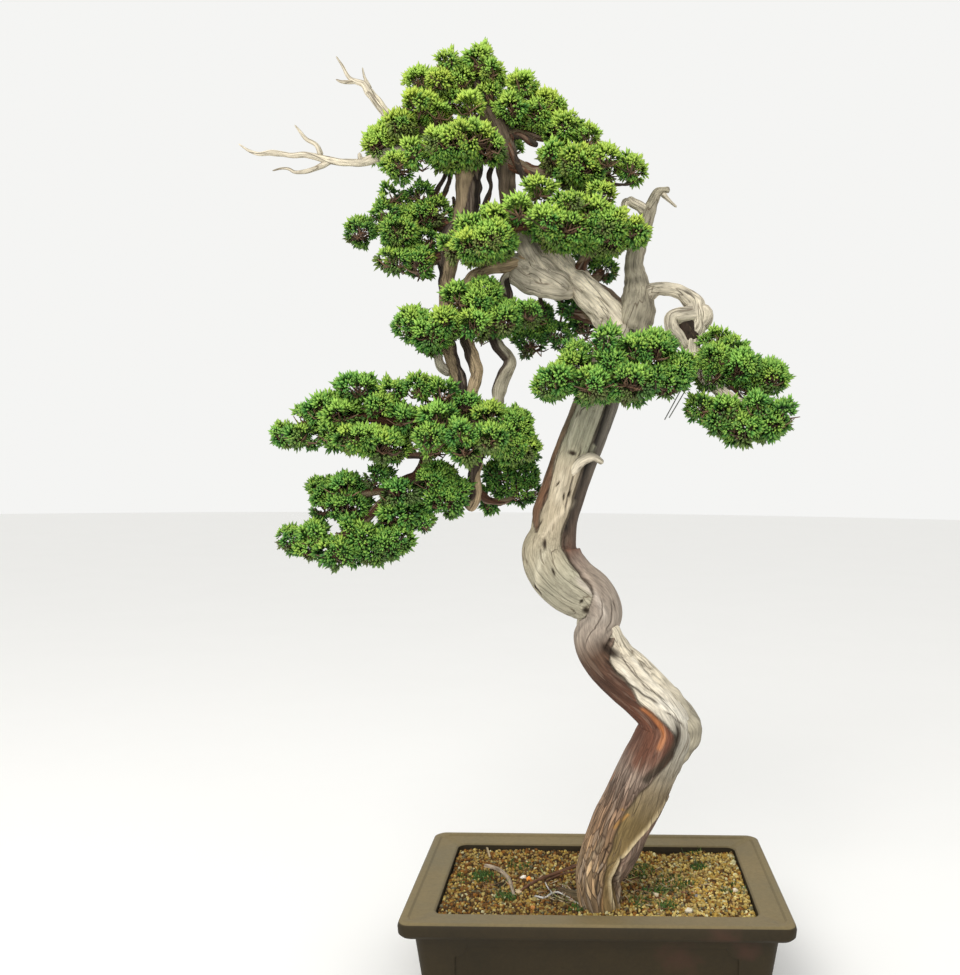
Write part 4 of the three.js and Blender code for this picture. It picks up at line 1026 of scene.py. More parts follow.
def make_boughs():
    """The large limbs: path, step along it, sides round it, and dressing."""
    limbs = [
        (SLAB, 1.5, 64, dress_limb(3, PALE * 1.08, 0.12, twist=0.003,
                                   end_tone=CREAM * 0.66, change=(0.34, 0.5))),
        (BOUGH, 1.5, 84, dress_limb(11, PALE * 1.25, 0.20, (100, 0.5, 55), BOUGH_BARK,
                                    stain=0.35, end_tone=CROWN_BARK, change=(0.42, 0.6))),
        (UPRIGHT, 1.5, 84, dress_limb(12, CREAM * 0.72, 0.18, stain=0.3)),
        (ARCH, 1.3, 48, dress_limb(13, PALE * 1.1, 0.15, stain=0.15)),
        (HANGING, 1.4, 56, dress_limb(14, TAN * 0.95, 0.17, (150, 1.6, 50), flaky=0.3)),
        (ARCHING, 1.4, 44, dress_limb(15, TAN * 1.3, 0.14, (60, 2.2, 55))),
        (ELBOW_LIMB, 1.3, 44, dress_limb(16, CREAM * 0.8, 0.14, (-100, 0.8, 60))),
    ]
    wood_piece("wood_boughs", [limb_skin(*limb) for limb in limbs])


def make_limbs():
    """The dead points, and all small limbs, roots and twigs, given in the same way."""
    bleached = {"stain": 0.1, "end_tone": PALE * 1.1}
    limbs = [
        (LEFT_JIN, 1.6, 32, dress_limb(17, TAN * 0.4, 0.12, change=(0.2, 0.34), **bleached)),
        (TOP_JIN, 1.6, 28, dress_limb(18, TAN * 0.4, 0.12, change=(0.4, 0.58), **bleached)),
    ]
    for n, path in enumerate(PALE_LIMBS):
        limbs.append((path, 1.5, 20, dress_limb(40 + n, PALE, 0.12, stain=0.15)))
    for n, path in enumerate(TAN_LIMBS):
        limbs.append((path, 1.5, 36, dress_limb(60 + n, PALE * 0.95, 0.18, stain=0.35)))
    for n, path in enumerate(LIVE_LIMBS):
        limbs.append((path, 1.6, 22, dress_limb(
            80 + n, TAN * 0.6, 0.16, (50 * n, 1.2, 110), REDDISH * 0.6, flaky=0.4)))
    for n, path in enumerate(ROOTS):
        limbs.append((path, 1.8, 24, dress_limb(110 + n, OLIVE * 0.55, 0.3)))
    for n, spots in enumerate(DARK_TWIGS):
        limbs.append((path_seen(spots), 1.5, 14, dress_limb(
            130 + n, DARK_BARK * 1.1, 0.2, (40 * n, 1.0, 60), REDDISH * 0.7)))
    # Dark lumps as painted shadow in the knot holes.
    for n, spots in enumerate(HOLLOW_SHADOWS):
        limbs.append((path_seen(spots), 1.0, 20, dress_limb(200 + n, CREVICE_SHADE, 0.3)))
    wood_piece("wood_limbs", [limb_skin(*limb) for limb in limbs])


wood_piece("wood_trunk", [
    limb_skin(TRUNK, TRUNK_STEP, TRUNK_SIDES, dress_trunk, TRUNK_GRAIN_TWIST, TRUNK_EASE)])
make_boughs()
make_limbs()

# ---------- the foliage ----------

# The y of each pad's middle and its mounds, close to the solids' own:
# [x, z, half width, half height, how far it stands to the front].
PADS = {
    "foliage_apex": (-14, [
        (-162, 954, 19, 17, 8), (-130, 957, 20, 17, 12), (-118, 945, 13, 12, 14),
        (-172, 932, 18, 13, 18), (-149, 937, 18, 13, 6), (-190, 907, 26, 16, 14),
        (-209, 886, 25, 17, 12), (-231, 878, 19, 15, 6), (-138, 903, 18, 14, 26),
        (-170, 899, 16, 10, 14), (-88, 932, 19, 18, 10), (-61, 913, 17, 16, 8),
        (-95, 908, 17, 12, 12), (-39, 890, 19, 15, 6), (-18, 882, 14, 17, 4),
        (-70, 903, 16, 9, 4), (-193, 938, 11, 9, 8), (-118, 924, 16, 14, -4),
        (-157, 920, 15, 13, 0), (-100, 912, 14, 13, 4), (-236, 868, 14, 8, 10),
        (-57, 911, 12, 13, 0), (-49, 889, 12, 9, 0)]),
    "foliage_crown_front": (-48, [
        (-139, 863, 27, 15, 14), (-166, 857, 24, 13, 12), (-191, 850, 20, 12, 6),
        (-114, 859, 14, 12, 8), (-209, 839, 13, 6, 8), (-152, 856, 27, 10, 4),
        (-127, 863, 19, 12, 16)]),
    "foliage_right_shelf": (-24, [
        (-53, 858, 18, 16, 10), (-27, 850, 25, 18, 14), (2, 853, 22, 16, 10),
        (27, 847, 20, 12, 4), (-27, 841, 31, 8, 2)]),
    "foliage_mid_left": (-18, [
        (-217, 817, 17, 15, 8), (-191, 819, 19, 15, 4), (-224, 796, 23, 15, 10),
        (-250, 782, 17, 10, 6), (-210, 777, 25, 13, 12), (-183, 797, 16, 17, 4),
        (-255, 777, 13, 7, 4), (-202, 791, 21, 16, 0), (-183, 772, 13, 13, -4),
        (-217, 772, 16, 8, 2), (-172, 802, 11, 10, -4)]),
    "foliage_mid_left_low": (-20, [
        (-217, 748, 25, 15, 8), (-190, 743, 21, 14, 6), (-191, 753, 21, 13, 0)]),
    "foliage_centre": (-54, [
        (-65, 812, 22, 13, 8), (-34, 796, 24, 15, 14), (-84, 791, 22, 15, 16),
        (-57, 778, 24, 14, 22), (-11, 789, 23, 16, 14), (-2, 811, 13, 11, 2),
        (11, 779, 22, 15, 12), (31, 773, 19, 9, 8), (-34, 773, 28, 10, 8),
        (-110, 785, 17, 14, 10), (-135, 772, 21, 16, 8), (-151, 757, 18, 13, 4),
        (-120, 757, 18, 11, 8), (-133, 755, 22, 10, 14), (-112, 762, 18, 12, 16),
        (-44, 774, 26, 12, 12), (-4, 774, 24, 10, 8), (-105, 765, 16, 10, 14),
        (8, 766, 15, 9, 8)]),
    "foliage_back_small": (34, [
        (0, 753, 17, 20, 0), (-19, 769, 11, 10, -2)]),
    "foliage_shelf_left": (-40, [
        (-146, 708, 22, 17, 6), (-120, 708, 15, 13, 4), (-192, 682, 20, 13, 8),
        (-159, 681, 23, 14, 14), (-129, 680, 23, 15, 16), (-99, 685, 19, 12, 10),
        (-75, 693, 14, 12, 6), (-171, 671, 24, 9, 4), (-197, 678, 12, 8, 8),
        (-174, 668, 22, 9, 10), (-126, 700, 20, 9, 8), (-97, 695, 14, 9, 0),
        (-118, 717, 15, 11, 4)]),
    "foliage_back_mid": (46, [
        (-33, 713, 24, 15, 6), (-16, 693, 20, 17, 6), (-67, 707, 15, 14, 4),
        (-78, 674, 20, 10, 2), (-48, 683, 17, 11, 4), (-69, 697, 18, 10, 4),
        (-51, 681, 15, 10, 2), (-84, 673, 15, 8, 0), (-19, 702, 20, 15, 0)]),
    "foliage_front": (-98, [
        (2, 658, 24, 19, 8), (31, 649, 25, 18, 10), (51, 654, 19, 15, 2),
        (-27, 646, 15, 13, 4), (-41, 620, 24, 12, 14), (-11, 613, 23, 12, 22),
        (22, 619, 24, 13, 24), (46, 622, 21, 13, 16), (70, 627, 17, 14, 4),
        (7, 635, 27, 15, 8), (-10, 613, 25, 11, 22), (30, 615, 25, 11, 20),
        (62, 616, 17, 10, 8), (-52, 614, 14, 11, 10), (50, 647, 19, 14, 8),
        (76, 635, 14, 12, 2), (-29, 634, 17, 12, 12)]),
    "foliage_right": (-52, [
        (113, 647, 23, 15, 12), (142, 641, 23, 15, 10), (169, 628, 18, 14, 6),
        (115, 668, 15, 14, -4), (132, 659, 14, 12, -6), (152, 620, 20, 11, 4),
        (110, 630, 15, 11, 10), (170, 634, 14, 12, 2), (104, 634, 14, 12, 0),
        (134, 635, 22, 12, 10)]),
    "foliage_right_low": (-76, [
        (96, 597, 18, 12, 6), (122, 594, 20, 14, 12), (149, 597, 22, 15, 10),
        (177, 592, 22, 14, 6), (165, 581, 20, 10, 4), (137, 580, 24, 12, 4),
        (112, 584, 18, 9, 6), (136, 574, 20, 10, 6), (162, 584, 18, 9, 4)]),
    "foliage_lower_left": (-50, [
        (-244, 614, 29, 18, 6), (-274, 594, 23, 14, 6), (-298, 585, 15, 13, 4),
        (-321, 567, 15, 10, 2), (-256, 586, 26, 13, 16), (-221, 595, 21, 14, 16),
        (-183, 615, 23, 17, 6), (-160, 613, 19, 17, 8), (-197, 584, 19, 14, 20),
        (-161, 585, 25, 15, 22), (-238, 563, 30, 15, 28), (-211, 555, 21, 12, 24),
        (-268, 566, 20, 8, 20), (-168, 564, 24, 16, 34), (-139, 569, 22, 15, 32),
        (-112, 587, 23, 15, 14), (-110, 564, 25, 15, 26), (-88, 576, 17, 14, 10),
        (-89, 555, 18, 10, 2), (-300, 565, 22, 12, 6), (-210, 611, 20, 12, 6),
        (-137, 599, 15, 12, 2), (-86, 584, 14, 10, 4), (-219, 556, 26, 9, 16),
        (-172, 554, 18, 9, 14), (-133, 553, 24, 11, 22), (-98, 563, 20, 10, 14),
        (-80, 557, 12, 9, 0), (-280, 590, 22, 12, 10)]),
    "foliage_low": (-34, [
        (-231, 526, 17, 15, 6), (-259, 514, 23, 16, 12), (-279, 505, 16, 13, 8),
        (-266, 493, 22, 12, 8), (-205, 510, 29, 15, 10), (-175, 520, 22, 16, 8),
        (-203, 488, 27, 13, 6), (-181, 478, 13, 7, 4), (-165, 501, 21, 14, 4),
        (-169, 528, 19, 14, 2), (-149, 513, 17, 15, 2), (-286, 514, 11, 11, 6),
        (-284, 493, 11, 12, 6), (-252, 495, 21, 14, 10), (-211, 482, 23, 8, 6),
        (-158, 499, 19, 10, 2)]),
    "foliage_lowest": (-52, [
        (-312, 462, 14, 9, 0), (-287, 466, 21, 16, 4), (-265, 451, 25, 13, 8),
        (-236, 464, 18, 12, 6), (-216, 456, 17, 12, 2), (-229, 451, 18, 8, 2),
        (-293, 452, 14, 9, 6), (-251, 473, 18, 12, 6), (-205, 463, 12, 9, 2),
        (-258, 446, 22, 8, 8)]),
    "foliage_back_crown": (74, [
        (-150, 903, 30, 16, 10), (-112, 910, 28, 17, 12), (-92, 930, 20, 11, 6),
        (-184, 888, 24, 13, 6)]),
    "foliage_back_low": (62, [
        (-170, 588, 30, 15, 10), (-205, 581, 28, 14, 8), (-136, 581, 26, 14, 6),
        (-240, 575, 22, 11, 4)]),
    "foliage_low_right": (14, [
        (-109, 530, 19, 13, 2), (-83, 528, 16, 16, 2), (-88, 510, 17, 10, 2),
        (-115, 502, 19, 12, 0), (-101, 549, 16, 10, 0), (-79, 555, 11, 9, 0),
        (-104, 517, 17, 10, 0), (-77, 513, 12, 9, 0)]),
}
# How full, how bright and how yellow a pad is, where it isn't like the others.
PAD_TONES = {
    "foliage_apex": (1.15, 1.4, 0.14), "foliage_crown_front": (1.0, 1.15, 0.1),
    "foliage_right_shelf": (1.0, 1.2, 0.15), "foliage_mid_left": (0.75, 0.85, 0.15),
    "foliage_mid_left_low": (0.75, 0.9, 0.1), "foliage_back_small": (0.8, 0.6, 0.0),
    "foliage_back_mid": (0.6, 0.55, 0.0), "foliage_low_right": (0.6, 0.55, 0.0),
    "foliage_low": (0.9, 0.72, 0.0), "foliage_lowest": (0.9, 0.8, 0.0),
    "foliage_centre": (1.0, 1.1, 0.1), "foliage_front": (0.85, 0.82, 0.0),
    "foliage_right": (1.0, 0.95, 0.0), "foliage_right_low": (1.0, 0.85, 0.0),
}
USUAL_TONE = (1.0, 1.0, 0.0)
MOUND_DEPTH = 1.35  # depth of a mound for its width
TUFT_REACH = 14.0  # from the foot of a tuft to its tips
TUFT_SPACING = 5.5  # least distance between two feet
CLUMP_MARGIN = 16.1  # between the feet of the tufts and the outline of the clump
INNER_LEAST = [5.0, 5.0, 3.0]  # half sizes that a clump keeps inside that margin
CLUMP_BLEND = 5.0  # how widely clumps run into each other
VALLEY_FILL = 9.0  # how deep inside the pad a foot may start and be moved out
SURFACE_STEP = 3.0  # the most that a foot moves towards the surface in a round
SURFACE_ROUNDS = 4
UNDERSIDE = -0.7  # slope below which a foot is on the pad's underside
UNDERSIDE_SHARE = 0.6  # share of the feet that stay there
PIECE_TRIANGLES = 170000  # above which a pad is shared out over several pieces
SPRAYS = 7
SPRAY_SPREAD = 66.0  # degrees between a tuft's axis and its outermost sprays
TUFT_KINDS = 10
FOLIAGE_SEED = 7
SHADE_GREEN = np.array([0.012, 0.044, 0.016])
LEAF_GREEN = np.array([0.072, 0.225, 0.032])
TIP_GREEN = np.array([0.370, 0.580, 0.090])
TWIG_BROWN = np.array([0.13, 0.075, 0.045])
# Shoots of one spray: how far up its stem, lean in degrees, and length.
SPRAY_SHOOTS = [
    (0.6, 0, 10.6), (0.2, 36, 7.8), (1.1, 34, 7.8), (2.0, 36, 7.0), (3.0, 32, 6.8),
    (3.9, 27, 6.2)]
SHOOT_THICKNESS = (2.3, 3.1)


def model_shoot():
    """One leafy shoot, a millimetre long and a millimetre thick, with both ends pointed."""
    bpy.ops.object.select_all(action="DESELECT")
    bpy.ops.mesh.primitive_cone_add(vertices=3, radius1=0.5, radius2=0.0, depth=0.36,
                                    location=(0, 0, 0.82))
    shoot = bpy.context.object
    bpy.ops.object.transform_apply(location=True, rotation=True, scale=True)
    bpy.ops.object.mode_set(mode="EDIT")
    bpy.ops.mesh.select_all(action="DESELECT")
    bpy.ops.object.mode_set(mode="OBJECT")
    base = min(shoot.data.polygons, key=lambda face: face.center.z)
    base.select = True
    bpy.ops.object.mode_set(mode="EDIT")
    bpy.ops.mesh.poke()
    bpy.ops.object.mode_set(mode="OBJECT")
    points = np.array([v.co[:] for v in shoot.data.vertices])
    middle = np.hypot(points[:, 0], points[:, 1]) < 1e-5
    points[middle & (points[:, 2] < 0.7), 2] = 0.0
    faces = np.array([face.vertices[:] for face in shoot.data.polygons])
    bpy.data.objects.remove(shoot)
    return points, faces


def turn_matrices(axes, spins):
    """Matrices that turn +Z to each axis, after a spin about +Z."""
    axes = unit(axes)
    helper = np.where(np.abs(axes[:, 2:]) < 0.95, [[0.0, 0.0, 1.0]], [[1.0, 0.0, 0.0]])
    first = unit(np.cross(helper, axes))
    second = np.cross(axes, first)
    c, s = np.cos(spins)[:, None], np.sin(spins)[:, None]
    return np.stack([first * c + second * s, second * c - first * s, axes], axis=2)


def model_tuft(rng, shoot):
    """Sprays that fan out from one foot, with how near each point is to a tip."""
    points, faces, tips, glow = [], [], [], []
    count = 0
    for n in range(SPRAYS):
        lean = math.radians(SPRAY_SPREAD) * math.sqrt((n + 0.3) / SPRAYS)
        around = n * GOLDEN_TURN + rng.uniform(-0.4, 0.4)
        axis = np.array([[math.sin(lean) * math.cos(around), math.sin(lean) * math.sin(around),
                          math.cos(lean)]])
        spray = turn_matrices(axis, rng.uniform(0, ANY_TURN, 1))[0]
        start = spray[:, 2] * rng.uniform(0.5, 3.5)
        size = rng.uniform(0.82, 1.12) * (1.06 - 0.16 * n / SPRAYS)
        light = rng.uniform(-0.16, 0.16)
        for k, (at, side, long) in enumerate(SPRAY_SHOOTS):
            side = math.radians(side + rng.uniform(-8, 8))
            spin = k * GOLDEN_TURN + rng.uniform(-0.3, 0.3)
            way = spray @ np.array([math.sin(side) * math.cos(spin),
                                    0.75 * math.sin(side) * math.sin(spin), math.cos(side)])
            matrix = turn_matrices(way[None], rng.uniform(0, ANY_TURN, 1))[0]
            thick = rng.uniform(*SHOOT_THICKNESS)
            shape = shoot[0] * [thick, thick, long * rng.uniform(0.85, 1.2)]
            points.append((shape @ matrix.T + spray[:, 2] * at) * size + start)
            faces.append(shoot[1] + count)
            tips.append(shoot[0][:, 2])
            glow.append(np.full(len(shape), light + rng.uniform(-0.14, 0.14)))
            count += len(shape)
    points = np.concatenate(points)
    reach = np.percentile(np.linalg.norm(points, axis=1), 96)
    return points / reach, np.concatenate(faces), np.concatenate(tips), np.concatenate(glow)


def clumps_of(spine, mound, rng):
    """A long mound of the solids as two or three rounder ones, front to back."""
    x, z, width, height, forward = mound
    reach = abs(forward) + MOUND_DEPTH * width
    depth = 0.92 * width + 3
    front, back = spine - reach + depth, spine + reach - depth
    if forward > 0:
        front = min(front, spine - forward)
    clumps = [(x, front, z, width, depth, height)]
    places = [back] if back - front < 1.5 * width else [(front + back) / 2, back]
    for y in places:
        clumps.append((x + rng.uniform(-0.25, 0.25) * width, y,
                       z + rng.uniform(-0.3, 0.05) * height, width * 0.9, depth * 0.95,
                       height * rng.uniform(0.8, 0.95)))
    return clumps


def spread_ways(count, rng):
    """Directions spread evenly over a ball, a little shaken."""
    k = np.arange(count) + 0.5
    height = 1 - 2 * k / count
    around = k * GOLDEN_TURN + rng.uniform(0, ANY_TURN)
    level = np.sqrt(1 - height ** 2)
    way = np.stack([level * np.cos(around), level * np.sin(around), height], axis=1)
    return unit(way + rng.normal(0, 0.15, way.shape))


def run_together(points, centres, sizes):
    """How far points stand outside all clumps run together, the way out, and each clump's share."""
    offset = points[:, None] - centres
    ratio = np.linalg.norm(offset / sizes, axis=2)
    away = np.linalg.norm(offset, axis=2) * (1 - 1 / np.maximum(ratio, 0.05))
    share = np.exp(-np.clip(away, -60, 120) / CLUMP_BLEND)
    total = share.sum(axis=1)
    share = share / total[:, None]
    way = unit((share[..., None] * unit(offset / sizes ** 2)).sum(axis=1))
    return -CLUMP_BLEND * np.log(total), way, share


def thinned(points, spacing, rng):
    """Which points stay when none may stand closer to another than the spacing."""
    stay = []
    for n in rng.permutation(len(points)):
        if not stay or np.linalg.norm(points[stay] - points[n], axis=1).min() > spacing:
            stay.append(n)
    return np.array(stay)


def feet_on(centres, sizes, spacing, rng):
    """Feet spread over the clumps' common surface: place, way out and clumps' shares."""
    inner = np.maximum(sizes - CLUMP_MARGIN, INNER_LEAST)
    feet = []
    for centre, size in zip(centres, inner):
        a, b, c = size + 4
        p = 1.6
        area = 4 * np.pi * (((a * b) ** p + (a * c) ** p + (b * c) ** p) / 3) ** (1 / p)
        feet.append(centre + spread_ways(max(8, int(area / 13)), rng) * size)
    feet = np.concatenate(feet)
    feet = feet[run_together(feet, centres, inner)[0] > -VALLEY_FILL]
    for _ in range(SURFACE_ROUNDS):
        away, way, _ = run_together(feet, centres, inner)
        feet = feet - way * np.clip(away, -SURFACE_STEP, SURFACE_STEP)[:, None]
    feet = feet[thinned(feet, spacing, rng)]
    away, normal, share = run_together(feet, centres, inner)
    under = normal[:, 2] < UNDERSIDE
    keep = (np.abs(away) < 2) & (~under | (rng.random(len(feet)) < UNDERSIDE_SHARE))
    feet, normal, share = feet[keep], normal[keep], share[keep]
    shaded_by_clump = run_together(feet + [0, 0, 16.0], centres, inner)[0] < 0
    return feet, normal, share, under[keep], shaded_by_clump


def hanging_stems(centres, sizes, rng):
    """Bare twigs that show below each clump: where they start and end."""
    stems = []
    for centre, size in zip(centres, sizes):
        low = spread_ways(8, rng)
        low[:, 2] = -np.abs(low[:, 2]) * 0.8
        ends = centre + low * size * rng.uniform(0.7, 0.95, (len(low), 1))
        root = centre - [0, 0, 0.5 * size[2]]
        stems.append(np.column_stack([np.broadcast_to(root, ends.shape), ends]))
    return np.concatenate(stems)


def tuft_places(name, spine, mounds, rng):
    """A pad's tufts: foot, direction, size, light, yellow and brown. And its twigs."""
    fullness, bright, yellow = PAD_TONES.get(name, USUAL_TONE)
    clumps = np.array([clump for mound in mounds for clump in clumps_of(spine, mound, rng)])
    centres, sizes = clumps[:, :3], clumps[:, 3:]
    feet, normal, share, under, shaded_by_clump = feet_on(
        centres, sizes, TUFT_SPACING / math.sqrt(fullness), rng)
    count = len(feet)
    axis = unit(normal * [1.0, 1.0, 0.8] + [0, 0, 0.6])
    axis[under] = unit(normal[under] * [1, 1, 0.4])
    # Painted light and shade: brighter where a foot faces up, darker with a clump over it and on
    # the underside.
    light = 0.56 + 0.16 * normal[:, 2] + share @ rng.uniform(-0.12, 0.12, len(centres))
    light = light + rng.uniform(-0.12, 0.12, count) - 0.08 * shaded_by_clump
    light = np.where(under, 0.36, light)
    warm = yellow + share @ rng.uniform(-0.12, 0.12, len(centres))
    warm = warm + rng.uniform(-0.16, 0.16, count)
    brown = np.where(under, rng.uniform(-0.5, 0.6, count), 0.0).clip(0, 1)
    reach = rng.uniform(0.80, 1.12, count) * TUFT_REACH
    reach = reach * np.clip((share @ sizes[:, 0]) / 18, 0.8, 1.0)
    rows = np.column_stack([feet, axis, reach, light * bright, warm, brown])
    middle = share @ (centres - [0, 0, 1] * sizes * 0.5)
    stems = [np.column_stack([middle, feet]), hanging_stems(centres, sizes, rng)]
    return rows, np.concatenate(stems)


def twig_tubes(stems, rng):
    """Thin three-sided twigs from the middle of a clump to the foot of each tuft."""
    start, end = stems[:, :3], stems[:, 3:]
    middle = (start + end) / 2 + rng.normal(0, 2.0, start.shape) - [0, 0, 2.0]
    ring = np.arange(3) * 2 * np.pi / 3
    rows = []
    for point, axis, radius in ((start, middle - start, 1.1), (middle, end - start, 0.9),
                                (end, end - middle, 0.5)):
        turn = turn_matrices(axis + 1e-6, np.zeros(len(axis)))
        circle = np.stack([np.cos(ring), np.sin(ring), np.zeros(3)]) * radius
        rows.append(point[:, None] + np.einsum("nij,jk->nki", turn, circle))
    points = np.concatenate(rows, axis=1).reshape(-1, 3)
    faces = []
    base = np.arange(len(stems))[:, None] * 9
    for row in (0, 3):
        for i in range(3):
            j = (i + 1) % 3
            faces.append(base + [row + i, row + j, row + 3 + j, row + 3 + i])
    shade = rng.uniform(0.4, 1.8, (len(stems), 1, 1))
    tint = np.broadcast_to(TWIG_BROWN * shade, (len(stems), 9, 3)).reshape(-1, 3)
    return {"points": points, "faces": [np.concatenate(faces)], "values": {"tint": tint}}


def leaf_colour(light, yellow, brown):
    """Green from shade to tip, turned to yellow or to brown."""
    light = np.clip(light, 0, 1)[..., None]
    tint = SHADE_GREEN + (LEAF_GREEN - SHADE_GREEN) * np.clip(2 * light, 0, 1)
    tint = tint + (TIP_GREEN - tint) * np.clip(2 * light - 1, 0, 1)
    tint = tint * (1 + yellow[..., None] * [0.9, 0.12, -0.3])
    return tint + (TWIG_BROWN - tint) * brown[..., None]


def tufts_and_twigs(rows, stems, kinds, rng):
    """The sprays of some tufts and the twigs to them, as one mesh."""
    parts = [twig_tubes(stems, rng)] if len(stems) else []
    kind = rng.integers(0, TUFT_KINDS, len(rows))
    for n, (points, faces, tips, glow) in enumerate(kinds):
        mine = rows[kind == n]
        if not len(mine):
            continue
        turn = turn_matrices(mine[:, 3:6], rng.uniform(0, ANY_TURN, len(mine)))
        placed = np.einsum("nij,kj->nki", turn, points) * mine[:, 6, None, None]
        placed += mine[:, None, :3]
        offsets = np.arange(len(mine))[:, None, None] * len(points)
        light = mine[:, 7, None] + 1.0 * (tips - 0.55)[None] + glow[None]
        tint = leaf_colour(light, mine[:, 8, None] + 0 * light, mine[:, 9, None] + 0 * light)
        parts.append({
            "points": placed.reshape(-1, 3),
            "faces": [(faces[None] + offsets).reshape(-1, 3)],
            "values": {"tint": tint.reshape(-1, 3)},
        })
    return joined(parts)


def make_foliage():
    shoot = model_shoot()
    rng = np.random.default_rng(FOLIAGE_SEED)
    kinds = [model_tuft(rng, shoot) for _ in range(TUFT_KINDS)]
    for name, (spine, mounds) in PADS.items():
        rows, stems = tuft_places(name, spine, mounds, rng)
        rows = rows[np.argsort(rows[:, 0])]
        stems = stems[np.argsort(stems[:, 3])]
        shares = math.ceil(len(rows) * len(kinds[0][1]) / PIECE_TRIANGLES)
        blocks = zip(np.array_split(rows, shares), np.array_split(stems, shares))
        for n, (some_rows, some_stems) in enumerate(blocks):
            points, faces, values = tufts_and_twigs(some_rows, some_stems, kinds, rng)
            piece = f"{name}_sprays_{n + 1}" if shares > 1 else name + "_sprays"
            make_piece(piece, points, faces, FOLIAGE, "foliage", [name], **values)


make_foliage()

# ---------- the pot ----------

RIM_LENGTH = 380.0
RIM_WIDTH = 247.0
RIM_BORDER = 32.0  # flat border between the outer edge and the soil
BOTTOM_INSET = 25.0  # body at the feet, in from the rim's outline
BODY_INSET = 15.0  # body below the hollow under the lip
CORNER = 10.0
# From the feet up the outside, over the rim and down inside to the floor:
# (in from the rim's outline, height).
POT_PROFILE = [
    (BOTTOM_INSET, 0), (BOTTOM_INSET, 12), (BODY_INSET, 81), (13, 86.5), (9.5, 89.4),
    (3, 90), (0.6, 93), (0, 100), (1, 103.5), (3.5, 105), (8, 104.6), (10, 103), (30, 102.2),
    (RIM_BORDER, 100.8), (RIM_BORDER, 90), (RIM_BORDER + 9, 24)]
FOOT_HEIGHT = 12.0
FOOT_GAPS = [(206, 300, 6), (400, 97, 6), (282, 149, 3)]  # length, width, rounding
HOLE_RADIUS = 12.0
HOLE_PLACES = (-75.0, 75.0)
PANEL_DEPTH = 2.2
PANEL_HEIGHTS = (24.0, 78.0)
PANEL_NOTCH = 11.0
NOTCH_PROFILE = 0.086  # makes a hollow quarter round of a bevelled corner
LONG_PANEL = 136.0  # half lengths
SHORT_PANEL = 79.5
EDGE_SOFTNESS = 0.5


def start_face(length, width, corner, profile=0.5):
    """A level rectangle with shaped corners about the origin, in edit mode and selected."""
    bpy.ops.object.select_all(action="DESELECT")
    bpy.ops.mesh.primitive_plane_add(size=1.0, location=(0, 0, 0))
    bpy.context.object.scale = (length * MM, width * MM, 1.0)
    bpy.ops.object.transform_apply(location=False, rotation=False, scale=True)
    bpy.ops.object.mode_set(mode="EDIT")
    bpy.ops.mesh.select_mode(type="FACE")
    bpy.ops.mesh.select_all(action="SELECT")
    bpy.ops.mesh.bevel(offset=corner * MM, segments=6, profile=profile, affect="VERTICES")
    return bpy.context.object


def extrude_up(height):
    bpy.ops.mesh.extrude_region_move(TRANSFORM_OT_translate={"value": (0, 0, height * MM)})


def end_edit():
    bpy.ops.mesh.select_all(action="SELECT")
    bpy.ops.mesh.normals_make_consistent(inside=False)
    bpy.ops.object.mode_set(mode="OBJECT")


def cut_from(target, cutter):
    """Takes the cutter's body out of the target."""
    modifier = target.modifiers.new("cut", "BOOLEAN")
    modifier.operation = "DIFFERENCE"
    modifier.solver = "EXACT"
    modifier.object = cutter
    bpy.context.view_layer.objects.active = target
    bpy.ops.object.modifier_apply(modifier="cut")
    bpy.data.objects.remove(cutter)


def model_pot_body():
    body = start_face(RIM_LENGTH - 2 * BOTTOM_INSET, RIM_WIDTH - 2 * BOTTOM_INSET, CORNER)
    for (old_inset, old_height), (inset, height) in zip(POT_PROFILE, POT_PROFILE[1:]):
        extrude_up(height - old_height)
        bpy.ops.transform.resize(center_override=(0, 0, height * MM), value=(
            (RIM_LENGTH - 2 * inset) / (RIM_LENGTH - 2 * old_inset),
            (RIM_WIDTH - 2 * inset) / (RIM_WIDTH - 2 * old_inset), 1.0))
    end_edit()
    return body


def foot_gap(length, width, rounding):
    bpy.ops.object.select_all(action="DESELECT")
    bpy.ops.mesh.primitive_cube_add(size=2.0 * FOOT_HEIGHT * MM)
    gap = bpy.context.object
    gap.scale = (length / (2 * FOOT_HEIGHT), width / (2 * FOOT_HEIGHT), 1.0)
    bpy.ops.object.transform_apply(location=False, rotation=False, scale=True)
    bpy.ops.object.mode_set(mode="EDIT")
    bpy.ops.mesh.select_all(action="SELECT")
    bpy.ops.mesh.bevel(offset=rounding * MM, segments=5)
    end_edit()
    return gap


def drainage_hole(x):
    bpy.ops.object.select_all(action="DESELECT")
    bpy.ops.mesh.primitive_cylinder_add(vertices=40, radius=HOLE_RADIUS * MM, depth=0.08,
                                        location=(x * MM, 0, 0))
    bpy.ops.object.transform_apply(location=True, rotation=True, scale=True)
    return bpy.context.object


def panel_cutter(half_length, half_side, turn):
    """A slab with hollow corners that lies in a sloping wall, a little below its face."""
    low, high = PANEL_HEIGHTS
    slope = math.atan2(BOTTOM_INSET - BODY_INSET, POT_PROFILE[2][1] - FOOT_HEIGHT)
    cutter = start_face(2 * half_length, (high - low) / math.cos(slope), PANEL_NOTCH,
                        NOTCH_PROFILE)
    extrude_up(8 * PANEL_DEPTH)
    end_edit()
    middle = (low + high) / 2
    wall = half_side - BOTTOM_INSET + (middle - FOOT_HEIGHT) * math.tan(slope)
    lean = Matrix.Rotation(math.pi / 2 + slope, 4, "X")
    out = lean.to_3x3() @ Vector((0, 0, 1))
    start = Vector((0, -wall, middle)) - out * PANEL_DEPTH
    cutter.matrix_world = (Matrix.Rotation(turn, 4, "Z")
                           @ Matrix.Translation(start * MM) @ lean)
    bpy.ops.object.transform_apply(location=True, rotation=True, scale=True)
    return cutter


